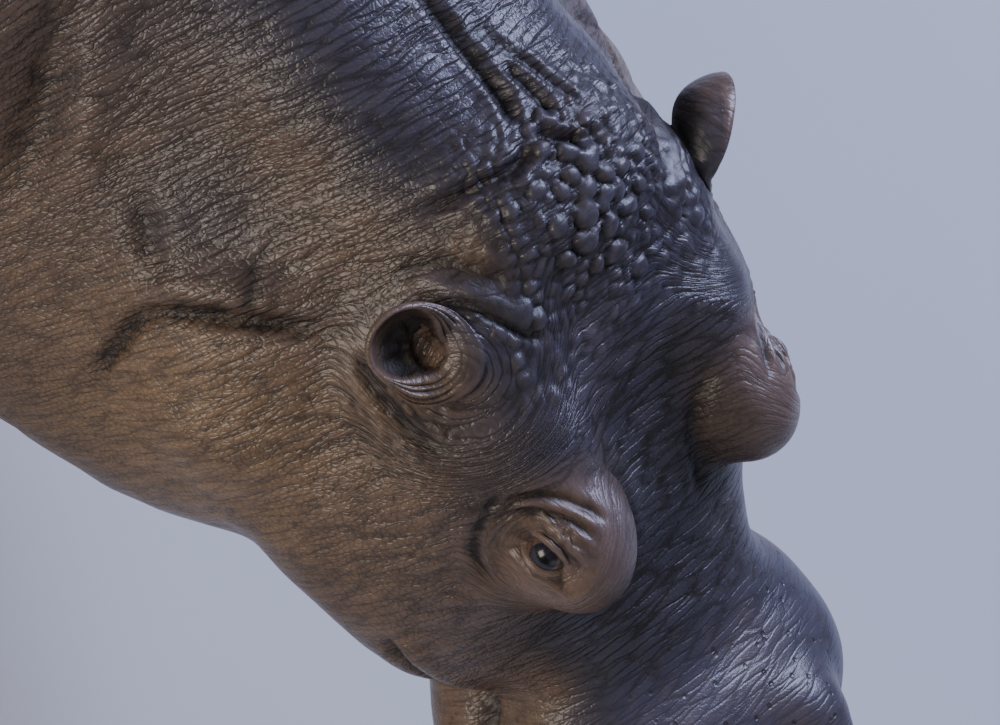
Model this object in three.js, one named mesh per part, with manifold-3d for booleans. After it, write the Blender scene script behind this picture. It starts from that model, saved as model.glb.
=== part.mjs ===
// A life-size hippopotamus, standing with its head lowered, as a museum model.
// Millimetres, +Z up. It faces -Y, its left side is +X, and the origin is on the floor under the
// middle of its box. The body is one smooth field of masses, meshed and parted with thin cuts.
import * as THREE from "three";
import { mergeVertices } from "three/addons/utils/BufferGeometryUtils.js";
import Module from "manifold-3d";

const wasm = await Module();
wasm.setup();

// ---------------------------------------------------------------- driving dimensions
const EAR_HEIGHT = 1200; // middle of the ear bases above the floor
const HEAD_PITCH = THREE.MathUtils.degToRad(25); // nose down
const EYE_RADIUS = 24;
const EYE = { x: 189, f: 229, u: 1 }; // centre of the left eyeball in the head's frame
const FORE = { x: 305, y: 770 }; // middle of the left forefoot
const HIND = { x: 300, y: 2110 }; // middle of the left hind foot
const FOOT_RADIUS = 118;
const GAP = 0.6; // clearance between neighbouring pieces
const CUT = 0.15; // half the width of a plane cut

const FINISHES = {
  hide: { color: 0x6b5650, roughness: 0.45, metalness: 0 },
  belly: { color: 0x8d6f66, roughness: 0.5, metalness: 0 },
  ear: { color: 0x7a5c54, roughness: 0.45, metalness: 0 },
  nail: { color: 0x8a7a68, roughness: 0.5, metalness: 0 },
  eye: { color: 0x1c1512, roughness: 0.08, metalness: 0 },
};

// ---------------------------------------------------------------- smooth field tools
const clamp = (v, lo, hi) => Math.min(Math.max(v, lo), hi);

function join(a, b, blend) {
  const h = Math.max(blend - Math.abs(a - b), 0) / blend;
  return Math.min(a, b) - (h * h * blend) / 4;
}

const carve = (a, b, blend) => -join(-a, b, blend);

// Smooth value of one column of a station list, by finite-difference Hermite curves.
function along(stations, column, at) {
  const last = stations.length - 1;
  if (at <= stations[0][0]) return stations[0][column];
  if (at >= stations[last][0]) return stations[last][column];
  let i = 0;
  while (at > stations[i + 1][0]) i++;
  const slope = (k) => {
    const [a, b] = [stations[Math.max(k - 1, 0)], stations[Math.min(k + 1, last)]];
    return (b[column] - a[column]) / (b[0] - a[0]);
  };
  const [p, q] = [stations[i], stations[i + 1]];
  const width = q[0] - p[0];
  const t = (at - p[0]) / width;
  const t2 = t * t;
  const t3 = t2 * t;
  return (
    (2 * t3 - 3 * t2 + 1) * p[column] +
    (t3 - 2 * t2 + t) * width * slope(i) +
    (3 * t2 - 2 * t3) * q[column] +
    (t3 - t2) * width * slope(i + 1)
  );
}

// Distance to a body lofted through stations [place, top, bottom, half width, taper].
// A positive taper makes the section narrower above than below.
function loft(stations, power, x, place, height) {
  const top = along(stations, 1, place);
  const bottom = along(stations, 2, place);
  const half = (top - bottom) / 2;
  const rise = height - (top + bottom) / 2;
  const wide = along(stations, 3, place) * (1 - along(stations, 4, place) * clamp(rise / half, -1, 1));
  const ratio = (Math.abs(x / wide) ** power + Math.abs(rise / half) ** power) ** (1 / power);
  const radius = Math.hypot(x, rise);
  const beyond = Math.max(stations[0][0] - place, place - stations[stations.length - 1][0], 0);
  return (ratio > 1e-6 ? radius - radius / ratio : -Math.min(wide, half)) + beyond;
}

function ellipsoid(x, y, z, { c, r }) {
  const [px, py, pz] = [(x - c[0]) / r[0], (y - c[1]) / r[1], (z - c[2]) / r[2]];
  const k0 = Math.hypot(px, py, pz);
  const k1 = Math.hypot(px / r[0], py / r[1], pz / r[2]);
  return k1 > 1e-9 ? (k0 * (k0 - 1)) / k1 : -Math.min(...r);
}

// Distance to a limb of changing thickness through joints [x, y, z, radius].
const LIMB_BLEND = 30;

function limb(x, y, z, joints) {
  let nearest = 1e9;
  for (let i = 0; i + 1 < joints.length; i++) {
    const [a, b] = [joints[i], joints[i + 1]];
    const [dx, dy, dz] = [b[0] - a[0], b[1] - a[1], b[2] - a[2]];
    const dot = (x - a[0]) * dx + (y - a[1]) * dy + (z - a[2]) * dz;
    const t = clamp(dot / (dx * dx + dy * dy + dz * dz), 0, 1);
    const near = Math.hypot(x - a[0] - t * dx, y - a[1] - t * dy, z - a[2] - t * dz);
    const ease = t * t * (3 - 2 * t);
    nearest = join(nearest, near - a[3] - ease * (b[3] - a[3]), LIMB_BLEND);
  }
  return nearest;
}

// ---------------------------------------------------------------- head frame
// f runs towards the nose and u up from the brow; its origin is midway between the ear bases.
const [COS, SIN] = [Math.cos(HEAD_PITCH), Math.sin(HEAD_PITCH)];
const toHead = (y, z) => [-y * COS - (z - EAR_HEIGHT) * SIN, -y * SIN + (z - EAR_HEIGHT) * COS];
const headFrame = new THREE.Matrix4().set(
  1, 0, 0, 0,
  0, -COS, -SIN, 0,
  0, -SIN, COS, EAR_HEIGHT,
  0, 0, 0, 1,
);

// ---------------------------------------------------------------- masses of the body
// Each mass is an ellipsoid { c, r }, a limb of joints [x, y, z, radius] or a loft of stations, and
// blend is the width of its soft join to the masses before it. Only the left half is listed.
// Stations of the trunk and neck: [y, top, bottom, half width, taper].
const TRUNK = [
  [-60, 1120, 760, 150, 0.3],
  [40, 1220, 640, 288, 0.34],
  [230, 1278, 575, 358, 0.44],
  [430, 1312, 545, 412, 0.38],
  [640, 1368, 525, 455, 0.24],
  [900, 1418, 480, 488, 0.11],
  [1250, 1424, 420, 532, 0.02],
  [1600, 1430, 396, 556, 0],
  [1950, 1440, 436, 546, 0.02],
  [2240, 1408, 530, 500, 0.06],
  [2440, 1322, 660, 410, 0.08],
  [2560, 1200, 810, 265, 0.05],
  [2620, 1090, 930, 110, 0],
];
const NAPE_ROLL = { c: [80, 310, 1190], r: [100, 230, 88], blend: 80 };
const BRISKET = { c: [0, 640, 600], r: [210, 260, 130], blend: 110 };
const SHOULDER = { c: [330, 790, 880], r: [165, 270, 360], blend: 90 };
const HAUNCH = { c: [330, 2180, 880], r: [215, 320, 380], blend: 90 };
const TORSO = [{ stations: TRUNK, power: 2.25 }, NAPE_ROLL, BRISKET, SHOULDER, HAUNCH];

const FORELEG = {
  joints: [[335, 800, 760, 185], [325, 860, 540, 146], [305, 800, 290, 108], [305, 780, 130, 104]],
};
const HINDLEG = {
  joints: [[325, 2180, 820, 235], [345, 2040, 590, 178], [312, 2190, 330, 108], [300, 2145, 140, 98]],
};
const ANKLE_BLEND = 40;
const LEG_BLEND = 80;

// Stations of the skull with the upper jaw, and of the lower jaw: [f, top, bottom, half width, taper].
const SKULL = [
  [-250, -60, -250, 90, 0.2],
  [-190, 8, -330, 190, 0.3],
  [-110, 46, -370, 222, 0.36],
  [-30, 44, -380, 244, 0.36],
  [60, 34, -380, 262, 0.36],
  [150, 16, -360, 262, 0.34],
  [240, -8, -330, 236, 0.3],
  [330, -34, -290, 190, 0.12],
  [420, -52, -250, 160, -0.04],
  [510, -60, -235, 158, -0.08],
  [590, -44, -236, 196, 0],
  [640, -52, -228, 190, 0],
  [690, -80, -210, 140, 0],
  [715, -120, -175, 60, 0],
];
const CROWN = { c: [0, -98, 18], r: [130, 78, 52], blend: 50 };
const BROW = { joints: [[128, 225, -12, 50], [128, 120, -16, 50], [112, -10, -22, 56]], blend: 46 };
const CHEEKBONE = { joints: [[150, 230, -80, 60], [176, 120, -96, 78], [172, 10, -90, 72]], blend: 90 };
const JOWL = { c: [190, -30, -300], r: [165, 240, 155], blend: 80 };
const CHEEK = { c: [160, 220, -220], r: [140, 190, 120], blend: 120 };
const EAR_MOUND = { c: [150, -8, -20], r: [48, 50, 40], blend: 40 };
const FOREHEAD_HOLLOW = { c: [0, 205, 62], r: [58, 120, 58], blend: 50, hollow: true };
const TURRET = { c: [145, 252, -4], r: [61, 74, 57], blend: 34 };
const MUZZLE = { c: [0, 636, -136], r: [206, 126, 98], blend: 50 };
const LIP_PAD = { c: [134, 590, -165], r: [102, 140, 88], blend: 50 };
const NOSTRIL_MOUND = { c: [90, 662, -54], r: [50, 64, 44], blend: 40 };
const FACE = [
  { stations: SKULL, power: 2.5 },
  CROWN, BROW, CHEEKBONE, JOWL, CHEEK, EAR_MOUND, FOREHEAD_HOLLOW, TURRET, MUZZLE, LIP_PAD, NOSTRIL_MOUND,
];

const JAW = [
  [-60, -270, -390, 110, 0],
  [40, -240, -430, 190, -0.1],
  [160, -215, -446, 205, -0.1],
  [270, -200, -430, 182, -0.05],
  [380, -190, -402, 160, 0],
  [480, -190, -388, 165, 0],
  [570, -190, -378, 184, 0.05],
  [630, -200, -358, 160, 0.05],
  [670, -220, -330, 110, 0],
  [690, -250, -300, 50, 0],
];
const THROAT = { c: [140, 60, -352], r: [140, 220, 104], blend: 90 };
const TUSK_SWELL = { c: [132, 560, -285], r: [84, 120, 78], blend: 50 };
const CHIN = { c: [0, 600, -292], r: [168, 104, 84], blend: 50 };
const MANDIBLE = [{ stations: JAW, power: 2.4 }, THROAT, TUSK_SWELL, CHIN];
const MOUTH_BLEND = 24;
const NECK_BLEND = 90;

function gather(masses, x, y, z) {
  let d = 1e6;
  for (const mass of masses) {
    if (mass.stations) d = loft(mass.stations, mass.power, x, y, z);
    else {
      const near = mass.joints ? limb(x, y, z, mass.joints) : ellipsoid(x, y, z, mass);
      d = mass.hollow ? carve(d, near, mass.blend) : join(d, near, mass.blend);
    }
  }
  return d;
}

// One foot: a broad pad with four toes fanned round its front.
const TOE_ANGLES = [-58, -20, 20, 58].map(THREE.MathUtils.degToRad);
const TOE = { reach: 74, height: 34, r: [44, 48, 50], blend: 22 };
const PAD = { back: 6, height: 52, r: [FOOT_RADIUS - 8, FOOT_RADIUS, 96] };

const toeSpot = (place, angle, reach) => [
  place.x + Math.sin(angle) * reach,
  place.y - Math.cos(angle) * reach,
];

function foot(x, y, z, place) {
  let d = ellipsoid(x, y, z, { c: [place.x, place.y + PAD.back, PAD.height], r: PAD.r });
  for (const angle of TOE_ANGLES) {
    const c = [...toeSpot(place, angle, TOE.reach), TOE.height];
    d = join(d, ellipsoid(x, y, z, { c, r: TOE.r }), TOE.blend);
  }
  return d;
}

function body(px, y, z) {
  const x = Math.abs(px);
  let d = gather(TORSO, x, y, z);
  for (const [leg, place] of [[FORELEG, FORE], [HINDLEG, HIND]])
    d = join(d, join(limb(x, y, z, leg.joints), foot(x, y, z, place), ANKLE_BLEND), LEG_BLEND);
  const [f, u] = toHead(y, z);
  const head = join(gather(FACE, x, f, u), gather(MANDIBLE, x, f, u), MOUTH_BLEND);
  return join(d, head, NECK_BLEND);
}

// ---------------------------------------------------------------- field to solid
// Grid lines from runs [start, step], the last one being the end.
function lines(...runs) {
  const made = [];
  for (let i = 0; i + 1 < runs.length; i++) {
    const [from, step] = runs[i];
    const count = Math.max(1, Math.round((runs[i + 1][0] - from) / step));
    for (let k = 0; k < count; k++) made.push(from + ((runs[i + 1][0] - from) * k) / count);
  }
  return [...made, runs[runs.length - 1][0]];
}

function boxDistance(p, grids) {
  const inset = grids.map((g) => [g[1], g[g.length - 2]]);
  return Math.max(...inset.map(([lo, hi], k) => Math.max(lo - p[k], p[k] - hi)));
}

// Surface nets over a grid: one vertex in each cell that the surface crosses, moved onto it.
const SETTLE_ROUNDS = 5;
const SETTLE_REACH = 0.6; // how far a vertex may move, in cells
const PROBE = 0.5; // half the span over which the slope is measured

function netOf(field, grids) {
  const [nx, ny, nz] = grids.map((g) => g.length);
  const closed = (p) => Math.max(field(...p), boxDistance(p, grids));
  const at = (i, j, k) => (i * ny + j) * nz + k;
  const value = new Float64Array(nx * ny * nz);
  for (let i = 0; i < nx; i++)
    for (let j = 0; j < ny; j++)
      for (let k = 0; k < nz; k++) value[at(i, j, k)] = closed([grids[0][i], grids[1][j], grids[2][k]]);

  const settle = (p, reach) => {
    const q = [...p];
    for (let round = 0; round < SETTLE_ROUNDS; round++) {
      const d = closed(q);
      const slope = [0, 1, 2].map((k) => {
        const [lo, hi] = [[...q], [...q]];
        lo[k] -= PROBE;
        hi[k] += PROBE;
        return (closed(hi) - closed(lo)) / (2 * PROBE);
      });
      const steep = Math.max(Math.hypot(...slope), 0.3);
      for (let k = 0; k < 3; k++) q[k] -= (d * slope[k]) / (steep * steep);
    }
    return q.map((v, k) => clamp(v, p[k] - reach[k], p[k] + reach[k]));
  };

  const vertices = [];
  const vertexOf = new Map();
  const corners = [0, 1, 2, 3, 4, 5, 6, 7].map((c) => [c & 1, (c >> 1) & 1, (c >> 2) & 1]);
  const cellVertex = (i, j, k) => {
    const key = at(i, j, k);
    if (vertexOf.has(key)) return vertexOf.get(key);
    const sum = [0, 0, 0];
    let crossings = 0;
    for (const a of corners)
      for (let axis = 0; axis < 3; axis++) {
        if (a[axis]) continue;
        const b = [...a];
        b[axis] = 1;
        const [va, vb] = [a, b].map((c) => value[at(i + c[0], j + c[1], k + c[2])]);
        if (va < 0 === vb < 0) continue;
        const t = va / (va - vb);
        const base = [i, j, k];
        for (let m = 0; m < 3; m++) {
          const g = grids[m];
          const start = g[base[m] + a[m]];
          sum[m] += m === axis ? start + t * (g[base[m] + 1] - start) : start;
        }
        crossings++;
      }
    const reach = [i, j, k].map((c, m) => (grids[m][c + 1] - grids[m][c]) * SETTLE_REACH);
    const p = settle(sum.map((s) => s / crossings), reach);
    vertexOf.set(key, vertices.length / 3);
    vertices.push(...p);
    return vertices.length / 3 - 1;
  };

  const triangles = [];
  const size = [nx, ny, nz];
  for (let i = 1; i < nx - 1; i++)
    for (let j = 1; j < ny - 1; j++)
      for (let k = 1; k < nz - 1; k++)
        for (let axis = 0; axis < 3; axis++) {
          const next = [i, j, k];
          next[axis]++;
          if (next[axis] >= size[axis]) continue;
          const inside = value[at(i, j, k)] < 0;
          if (inside === value[at(...next)] < 0) continue;
          const [p, q] = [(axis + 1) % 3, (axis + 2) % 3];
          const ring = [[0, 0], [-1, 0], [-1, -1], [0, -1]].map(([a, b]) => {
            const cell = [i, j, k];
            cell[p] += a;
            cell[q] += b;
            return cellVertex(...cell);
          });
          if (!inside) ring.reverse();
          const spot = (v) => new THREE.Vector3().fromArray(vertices, v * 3);
          const [a, b, c, e] = ring.map(spot);
          if (a.distanceTo(c) < b.distanceTo(e))
            triangles.push(ring[0], ring[1], ring[2], ring[0], ring[2], ring[3]);
          else triangles.push(ring[0], ring[1], ring[3], ring[1], ring[2], ring[3]);
        }
  return solidOf(vertices, triangles);
}

function solidOf(vertices, triangles) {
  return new wasm.Manifold(
    new wasm.Mesh({
      numProp: 3,
      vertProperties: new Float32Array(vertices),
      triVerts: new Uint32Array(triangles),
    }),
  );
}

// The largest body of a solid, without the slivers that a cut can leave.
const whole = (solid) => solid.decompose().sort((a, b) => b.volume() - a.volume())[0];

function geometryOf(solid) {
  const mesh = solid.getMesh();
  const geometry = new THREE.BufferGeometry();
  geometry.setAttribute("position", new THREE.BufferAttribute(new Float32Array(mesh.vertProperties), 3));
  geometry.setIndex(new THREE.BufferAttribute(new Uint32Array(mesh.triVerts), 1));
  geometry.computeVertexNormals();
  return geometry;
}

// A three.js geometry as a solid, its shared vertices welded.
function solidFrom(geometry) {
  geometry.deleteAttribute("normal");
  geometry.deleteAttribute("uv");
  const welded = mergeVertices(geometry, 1e-3);
  return solidOf([...welded.attributes.position.array], [...welded.index.array]);
}

// A solid grown by a distance along its vertex normals, to cut a clearance round it.
function grown(solid, distance) {
  const geometry = geometryOf(solid);
  const spots = geometry.attributes.position.array;
  const normals = geometry.attributes.normal.array;
  return solidOf([...spots].map((v, i) => v + distance * normals[i]), [...geometry.index.array]);
}

const placed = (solid, matrix) => solid.transform([...matrix.elements]);
const mirror = (solid) => solid.mirror([1, 0, 0]);

// ---------------------------------------------------------------- cutting planes
// A plane as [normal, offset] in the body's frame; the piece kept lies ahead of the normal.
const beyond = (solid, [n, offset]) => solid.trimByPlane(n, offset + CUT);
const before = (solid, [n, offset]) => solid.trimByPlane(n.map((v) => -v), -offset + CUT);

function headPlane(f, u, lean) {
  const n = new THREE.Vector3(0, Math.cos(lean), Math.sin(lean)).transformDirection(headFrame);
  const p = new THREE.Vector3(0, f, u).applyMatrix4(headFrame);
  return [n.toArray(), n.dot(p)];
}

const HEAD_CUT = headPlane(-150, 0, 0.1);
const NECK_CUT = [[0, -1, 0], -570];
const FETLOCK = [[0, 0, 1], 168];
const FLOOR = [[0, 0, 1], -CUT];

// ---------------------------------------------------------------- nodes
const root = new THREE.Group();

function add(name, solid, finish) {
  const mesh = new THREE.Mesh(geometryOf(whole(solid)), new THREE.MeshStandardMaterial(FINISHES[finish]));
  mesh.name = name;
  root.add(mesh);
}

function ball(radius, x, y, z, sides, scale = [1, 1, 1]) {
  const sphere = new THREE.SphereGeometry(radius, sides, Math.ceil(sides * 0.55));
  sphere.scale(...scale);
  sphere.translate(x, y, z);
  return solidFrom(sphere);
}

// Head, in its own frame, finer round the eyes.
const EYE_SIDES = 12;

function wholeHead() {
  const grids = [
    lines([-460, 76], [-232, 42], [232, 76], [460]),
    lines([-340, 70], [-60, 58], [172, 32], [332, 54], [818]),
    lines([-570, 66], [-240, 48], [-96, 34], [142]),
  ];
  const field = (x, f, u) => body(...new THREE.Vector3(x, f, u).applyMatrix4(headFrame).toArray());
  return beyond(placed(netOf(field, grids), headFrame), HEAD_CUT);
}

const eyeball = (radius) => placed(ball(radius, EYE.x, EYE.f, EYE.u, EYE_SIDES), headFrame);

// The mouth line in side view: all below it and ahead of the throat is the lower jaw.
const MOUTH = [[800, -214], [700, -212], [620, -232], [540, -246], [450, -226], [360, -206], [280, -192]];
const THROAT_LINE = [[150, -360], [120, -600]];
const JAW_CORNER = [800, -600];

function jawRegion(shift) {
  const outline = [
    ...MOUTH.map(([f, u]) => [f, u - shift]),
    ...THROAT_LINE.map(([f, u]) => [f + shift, u]),
    JAW_CORNER,
  ];
  const shape = new THREE.Shape(outline.map(([f, u]) => new THREE.Vector2(f, u)));
  const block = new THREE.ExtrudeGeometry(shape, { depth: 1000, bevelEnabled: false });
  block.translate(0, 0, -500);
  block.rotateX(Math.PI / 2);
  block.rotateZ(Math.PI / 2);
  return placed(solidFrom(block), headFrame);
}

function addHead() {
  const socket = eyeball(EYE_RADIUS + GAP);
  const head = wholeHead().subtract(socket).subtract(mirror(socket));
  const skull = head.subtract(jawRegion(-GAP / 2));
  add("head", skull, "hide");
  add("lower_jaw", head.intersect(jawRegion(GAP / 2)), "belly");
  add("eye_left", eyeball(EYE_RADIUS), "eye");
  add("eye_right", mirror(eyeball(EYE_RADIUS)), "eye");
  return whole(skull);
}

// Ear: a cup on a short root, thin at the tip and with a broad roll at the base. Its own axes run
// towards the tip, across the ear and out of the cup; the two ears are not held quite alike.
const EARS = {
  left: { root: [200.3, 0.4, 1.2], tip: [0.65, -0.78, 0], open: [0.776, 0.596, 0.24] },
  right: { root: [204.6, -2, 5], tip: [0.56, -0.79, -0.25], open: [0.42, -0.02, 0.9] },
};
const CUP = { middle: 42, tip: 71, base: 60, half: 55, curl: 10 };
const EDGE = { atTip: 8, atBase: 36 }; // width of the rolled edge
const CREST = { atTip: 3.5, atBase: 7.5 }; // its height
const BELLY = { share: 0.55, atBase: 4, atTip: 13, out: 7 }; // how full the back of the cup is
const WALL = { share: 0.45, drop: 9 }; // the wall inside, halfway to the pit
const EAR_FOOT = { middle: 14, along: 36, across: 38, depth: 52, skin: 18 };
const EAR_PIT = [52, 6, -30];
const EAR_STEPS = 18; // round the cup

// One ring of the ear for each level, from its foot inside the head to the wall of the cup.
function earRings(turn) {
  const [c, s] = [Math.cos(turn), Math.sin(turn)];
  const toTip = clamp(c, 0, 1);
  const toBase = THREE.MathUtils.smoothstep(0.5 - 0.75 * c, 0, 1);
  const reach = c > 0 ? CUP.tip : CUP.base;
  const rim = new THREE.Vector3(CUP.middle + reach * c, CUP.half * s, CUP.curl * toTip ** 2);
  const inward = new THREE.Vector3(EAR_PIT[0] - rim.x, EAR_PIT[1] - rim.y, 0).normalize();
  const lip = rim.clone().addScaledVector(inward, THREE.MathUtils.lerp(EDGE.atTip, EDGE.atBase, toBase));
  const foot = new THREE.Vector3(EAR_FOOT.middle + EAR_FOOT.along * c, EAR_FOOT.across * s, -EAR_FOOT.depth);
  const skin = foot.clone().setZ(-EAR_FOOT.skin);
  const belly = skin.clone().lerp(rim, BELLY.share);
  belly.z -= THREE.MathUtils.lerp(BELLY.atBase, BELLY.atTip, toTip);
  belly.addScaledVector(inward, -BELLY.out * toTip);
  const crest = rim.clone().lerp(lip, 0.5);
  crest.z += THREE.MathUtils.lerp(CREST.atTip, CREST.atBase, toBase);
  const wall = lip.clone().lerp(new THREE.Vector3(...EAR_PIT), WALL.share);
  wall.z -= WALL.drop;
  return [foot, skin, belly, rim, crest, lip, wall];
}

function earSolid({ root, tip, open }) {
  const along = new THREE.Vector3(...tip).normalize();
  const out = new THREE.Vector3(...open);
  out.addScaledVector(along, -out.dot(along)).normalize();
  const wide = new THREE.Vector3().crossVectors(along, out);
  const stand = new THREE.Matrix4().makeBasis(along, wide, out).setPosition(...root);
  const columns = [];
  for (let k = 0; k < EAR_STEPS; k++) columns.push(earRings((2 * Math.PI * k) / EAR_STEPS));
  const levels = columns[0].length;
  const spots = [new THREE.Vector3(EAR_FOOT.middle, 0, -EAR_FOOT.depth), ...columns.flat()];
  spots.push(new THREE.Vector3(...EAR_PIT));
  const vertices = spots.flatMap((spot) => spot.applyMatrix4(stand).toArray());
  const last = spots.length - 1;
  const triangles = [];
  for (let k = 0; k < EAR_STEPS; k++) {
    const [here, next] = [1 + k * levels, 1 + ((k + 1) % EAR_STEPS) * levels];
    triangles.push(0, here, next, last, next + levels - 1, here + levels - 1);
    for (let i = 0; i < levels - 1; i++) {
      triangles.push(here + i, next + i + 1, next + i, here + i, here + i + 1, next + i + 1);
    }
  }
  return solidOf(vertices, triangles);
}

// The ears stand on the head, cut back to clear it.
function addEars(skull) {
  const clearance = grown(skull, GAP);
  for (const side of ["left", "right"]) {
    const ear = placed(earSolid(EARS[side]), headFrame).subtract(clearance);
    add(`ear_${side}`, side === "left" ? ear : mirror(ear), "ear");
  }
}

function addNeck() {
  const grids = [lines([-595, 99], [595]), lines([-60, 84], [780]), lines([380, 94], [1508])];
  add("neck", beyond(before(netOf(body, grids), HEAD_CUT), NECK_CUT), "hide");
}

// Each pair of legs parts from the trunk at a box whose top slopes up and outwards.
const FORE_REGION = { x: [150, 760], y: [564, 1078], z: [-200, 472], slope: 0.55 };
const HIND_REGION = { x: [140, 760], y: [1880, 2700], z: [-200, 500], slope: 0.6 };

function region({ x, y, z, slope }, grow) {
  const box = new THREE.BoxGeometry(x[1] - x[0] + 2 * grow, y[1] - y[0] + 2 * grow, z[1] - z[0]);
  box.translate((x[0] + x[1]) / 2, (y[0] + y[1]) / 2, (z[0] + z[1]) / 2);
  const spots = box.attributes.position;
  for (let i = 0; i < spots.count; i++)
    if (spots.getZ(i) === z[1]) spots.setZ(i, z[1] + grow + slope * (spots.getX(i) - x[0]));
  return solidFrom(box);
}

function addTrunk() {
  const grids = [lines([-770, 140], [770]), lines([300, 152], [2732]), lines([230, 124], [1602])];
  let trunk = before(netOf(body, grids), NECK_CUT);
  for (const place of [FORE_REGION, HIND_REGION]) {
    const cutter = region(place, CUT);
    trunk = trunk.subtract(cutter).subtract(mirror(cutter));
  }
  add("trunk", trunk, "hide");
  return whole(trunk);
}

// Legs, cut from the feet at the fetlock, and nails let into the toes.
const NAIL = { reach: 112, height: 23, radius: 24, scale: [1, 0.62, 1.1], sides: 7 };

function addLeg(name, reach, front, back) {
  const grids = [lines([60, 66], [720]), lines([front, 68], [back]), lines([40, 78], [976])];
  const leg = beyond(netOf(body, grids).intersect(region(reach, -CUT)), FETLOCK);
  add(`${name}leg_left`, leg, "hide");
  add(`${name}leg_right`, mirror(leg), "hide");
}

function addFoot(name, place) {
  const grids = [
    lines([place.x - 196, 56], [place.x + 196]),
    lines([place.y - 196, 49], [place.y + 196]),
    lines([-84, 56], [280]),
  ];
  let sole = beyond(before(netOf(body, grids), FETLOCK), FLOOR);
  TOE_ANGLES.forEach((angle, i) => {
    const stand = new THREE.Matrix4().makeTranslation(...toeSpot(place, angle, NAIL.reach), NAIL.height);
    stand.multiply(new THREE.Matrix4().makeRotationZ(angle));
    const nail = (radius) => placed(ball(radius, 0, 0, 0, NAIL.sides, NAIL.scale), stand);
    sole = sole.subtract(nail(NAIL.radius + GAP));
    const cap = beyond(nail(NAIL.radius), FLOOR);
    add(`nail_${name}_left_${i + 1}`, cap, "nail");
    add(`nail_${name}_right_${i + 1}`, mirror(cap), "nail");
  });
  add(`${name}foot_left`, sole, "hide");
  add(`${name}foot_right`, mirror(sole), "hide");
}

// Tail, hanging down the rump and flattened from side to side.
const TAIL = [
  [0, 2550, 1160, 66], [0, 2630, 1050, 56], [0, 2672, 940, 40], [0, 2690, 850, 30], [0, 2692, 770, 20],
];
const TAIL_FLAT = 0.75;

function addTail(trunk) {
  const grids = [lines([-100, 25], [100]), lines([2480, 30], [2780]), lines([700, 42], [1260])];
  const field = (x, y, z) => limb(x / TAIL_FLAT, y, z, TAIL) * TAIL_FLAT;
  add("tail", netOf(field, grids).subtract(grown(trunk, GAP)), "hide");
}

const skull = addHead();
addEars(skull);
addNeck();
const trunk = addTrunk();
addTail(trunk);
addLeg("fore", FORE_REGION, 440, 1180);
addLeg("hind", HIND_REGION, 1780, 2740);
addFoot("fore", FORE);
addFoot("hind", HIND);

// The origin moves to the floor under the middle of the box.
const bounds = new THREE.Box3().setFromObject(root);
const middle = bounds.getCenter(new THREE.Vector3());
root.position.set(-middle.x, -middle.y, -bounds.min.z);

export default root;
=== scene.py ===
# %% [markdown]
# # A hippopotamus, life size
# The CAD frame gives a faceted hippopotamus in 33 solids. This lesson covers it with one smooth
# wet skin, adds folds, warts, lids, ears, eyes and toenails, and lights it like a museum model.
# Everything is in metres, in the frame's own axes: +X is the animal's left, -Y is where it faces.

# %% Load the frame
import math

import bmesh
import bpy
import numpy as np
from mathutils import Matrix, Vector, noise


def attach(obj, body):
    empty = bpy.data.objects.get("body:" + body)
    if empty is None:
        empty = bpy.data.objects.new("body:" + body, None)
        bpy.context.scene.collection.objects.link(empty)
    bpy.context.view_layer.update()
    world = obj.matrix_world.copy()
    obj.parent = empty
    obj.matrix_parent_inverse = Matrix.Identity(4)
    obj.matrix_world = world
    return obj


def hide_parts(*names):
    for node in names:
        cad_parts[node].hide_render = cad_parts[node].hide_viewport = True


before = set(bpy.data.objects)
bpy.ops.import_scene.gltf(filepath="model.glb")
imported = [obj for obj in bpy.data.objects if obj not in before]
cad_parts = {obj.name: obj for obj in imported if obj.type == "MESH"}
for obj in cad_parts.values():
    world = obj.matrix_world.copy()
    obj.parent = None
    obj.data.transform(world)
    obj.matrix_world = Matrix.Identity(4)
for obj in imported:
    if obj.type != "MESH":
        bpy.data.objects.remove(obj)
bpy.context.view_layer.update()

# %% [markdown]
# ## Where things are
# Two sets of axes are enough. The body's own run along the trunk, from a point under the ears.
# The head's run with the lowered head: x to its left, f towards the nose, u up from the brow.

# %% Axes of the body and of the head
EAR_MIDDLE = np.array([0.0, -1.0443, 1.2])
HEAD_PITCH = math.radians(25)
COS, SIN = math.cos(HEAD_PITCH), math.sin(HEAD_PITCH)
LEFT = np.array([1.0, 0.0, 0.0])
NOSEWARD = np.array([0.0, -COS, -SIN])
BROWWARD = np.array([0.0, -SIN, COS])
HEAD_AXES = np.array([LEFT, NOSEWARD, BROWWARD])
print("ears", EAR_MIDDLE[2], "m up, head lowered by", round(math.degrees(HEAD_PITCH)), "degrees")


def to_head(points):
    return (np.asarray(points) - EAR_MIDDLE) @ HEAD_AXES.T


def from_head(points):
    return np.asarray(points) @ HEAD_AXES + EAR_MIDDLE


# %% [markdown]
# ## The flesh as a smooth field
# A real hippo is a few big soft masses under a tight hide. A field gives each point its distance
# to those masses, and a soft minimum melts them together. Any mesh whose points are moved onto
# the zero of the field becomes perfectly smooth, which beats smoothing the facets by eye.

# %% Field tools
def join(a, b, blend):
    h = np.maximum(blend - np.abs(a - b), 0) / blend
    return np.minimum(a, b) - h * h * blend / 4


def carve(a, b, blend):
    return -join(-a, b, blend)


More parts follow.
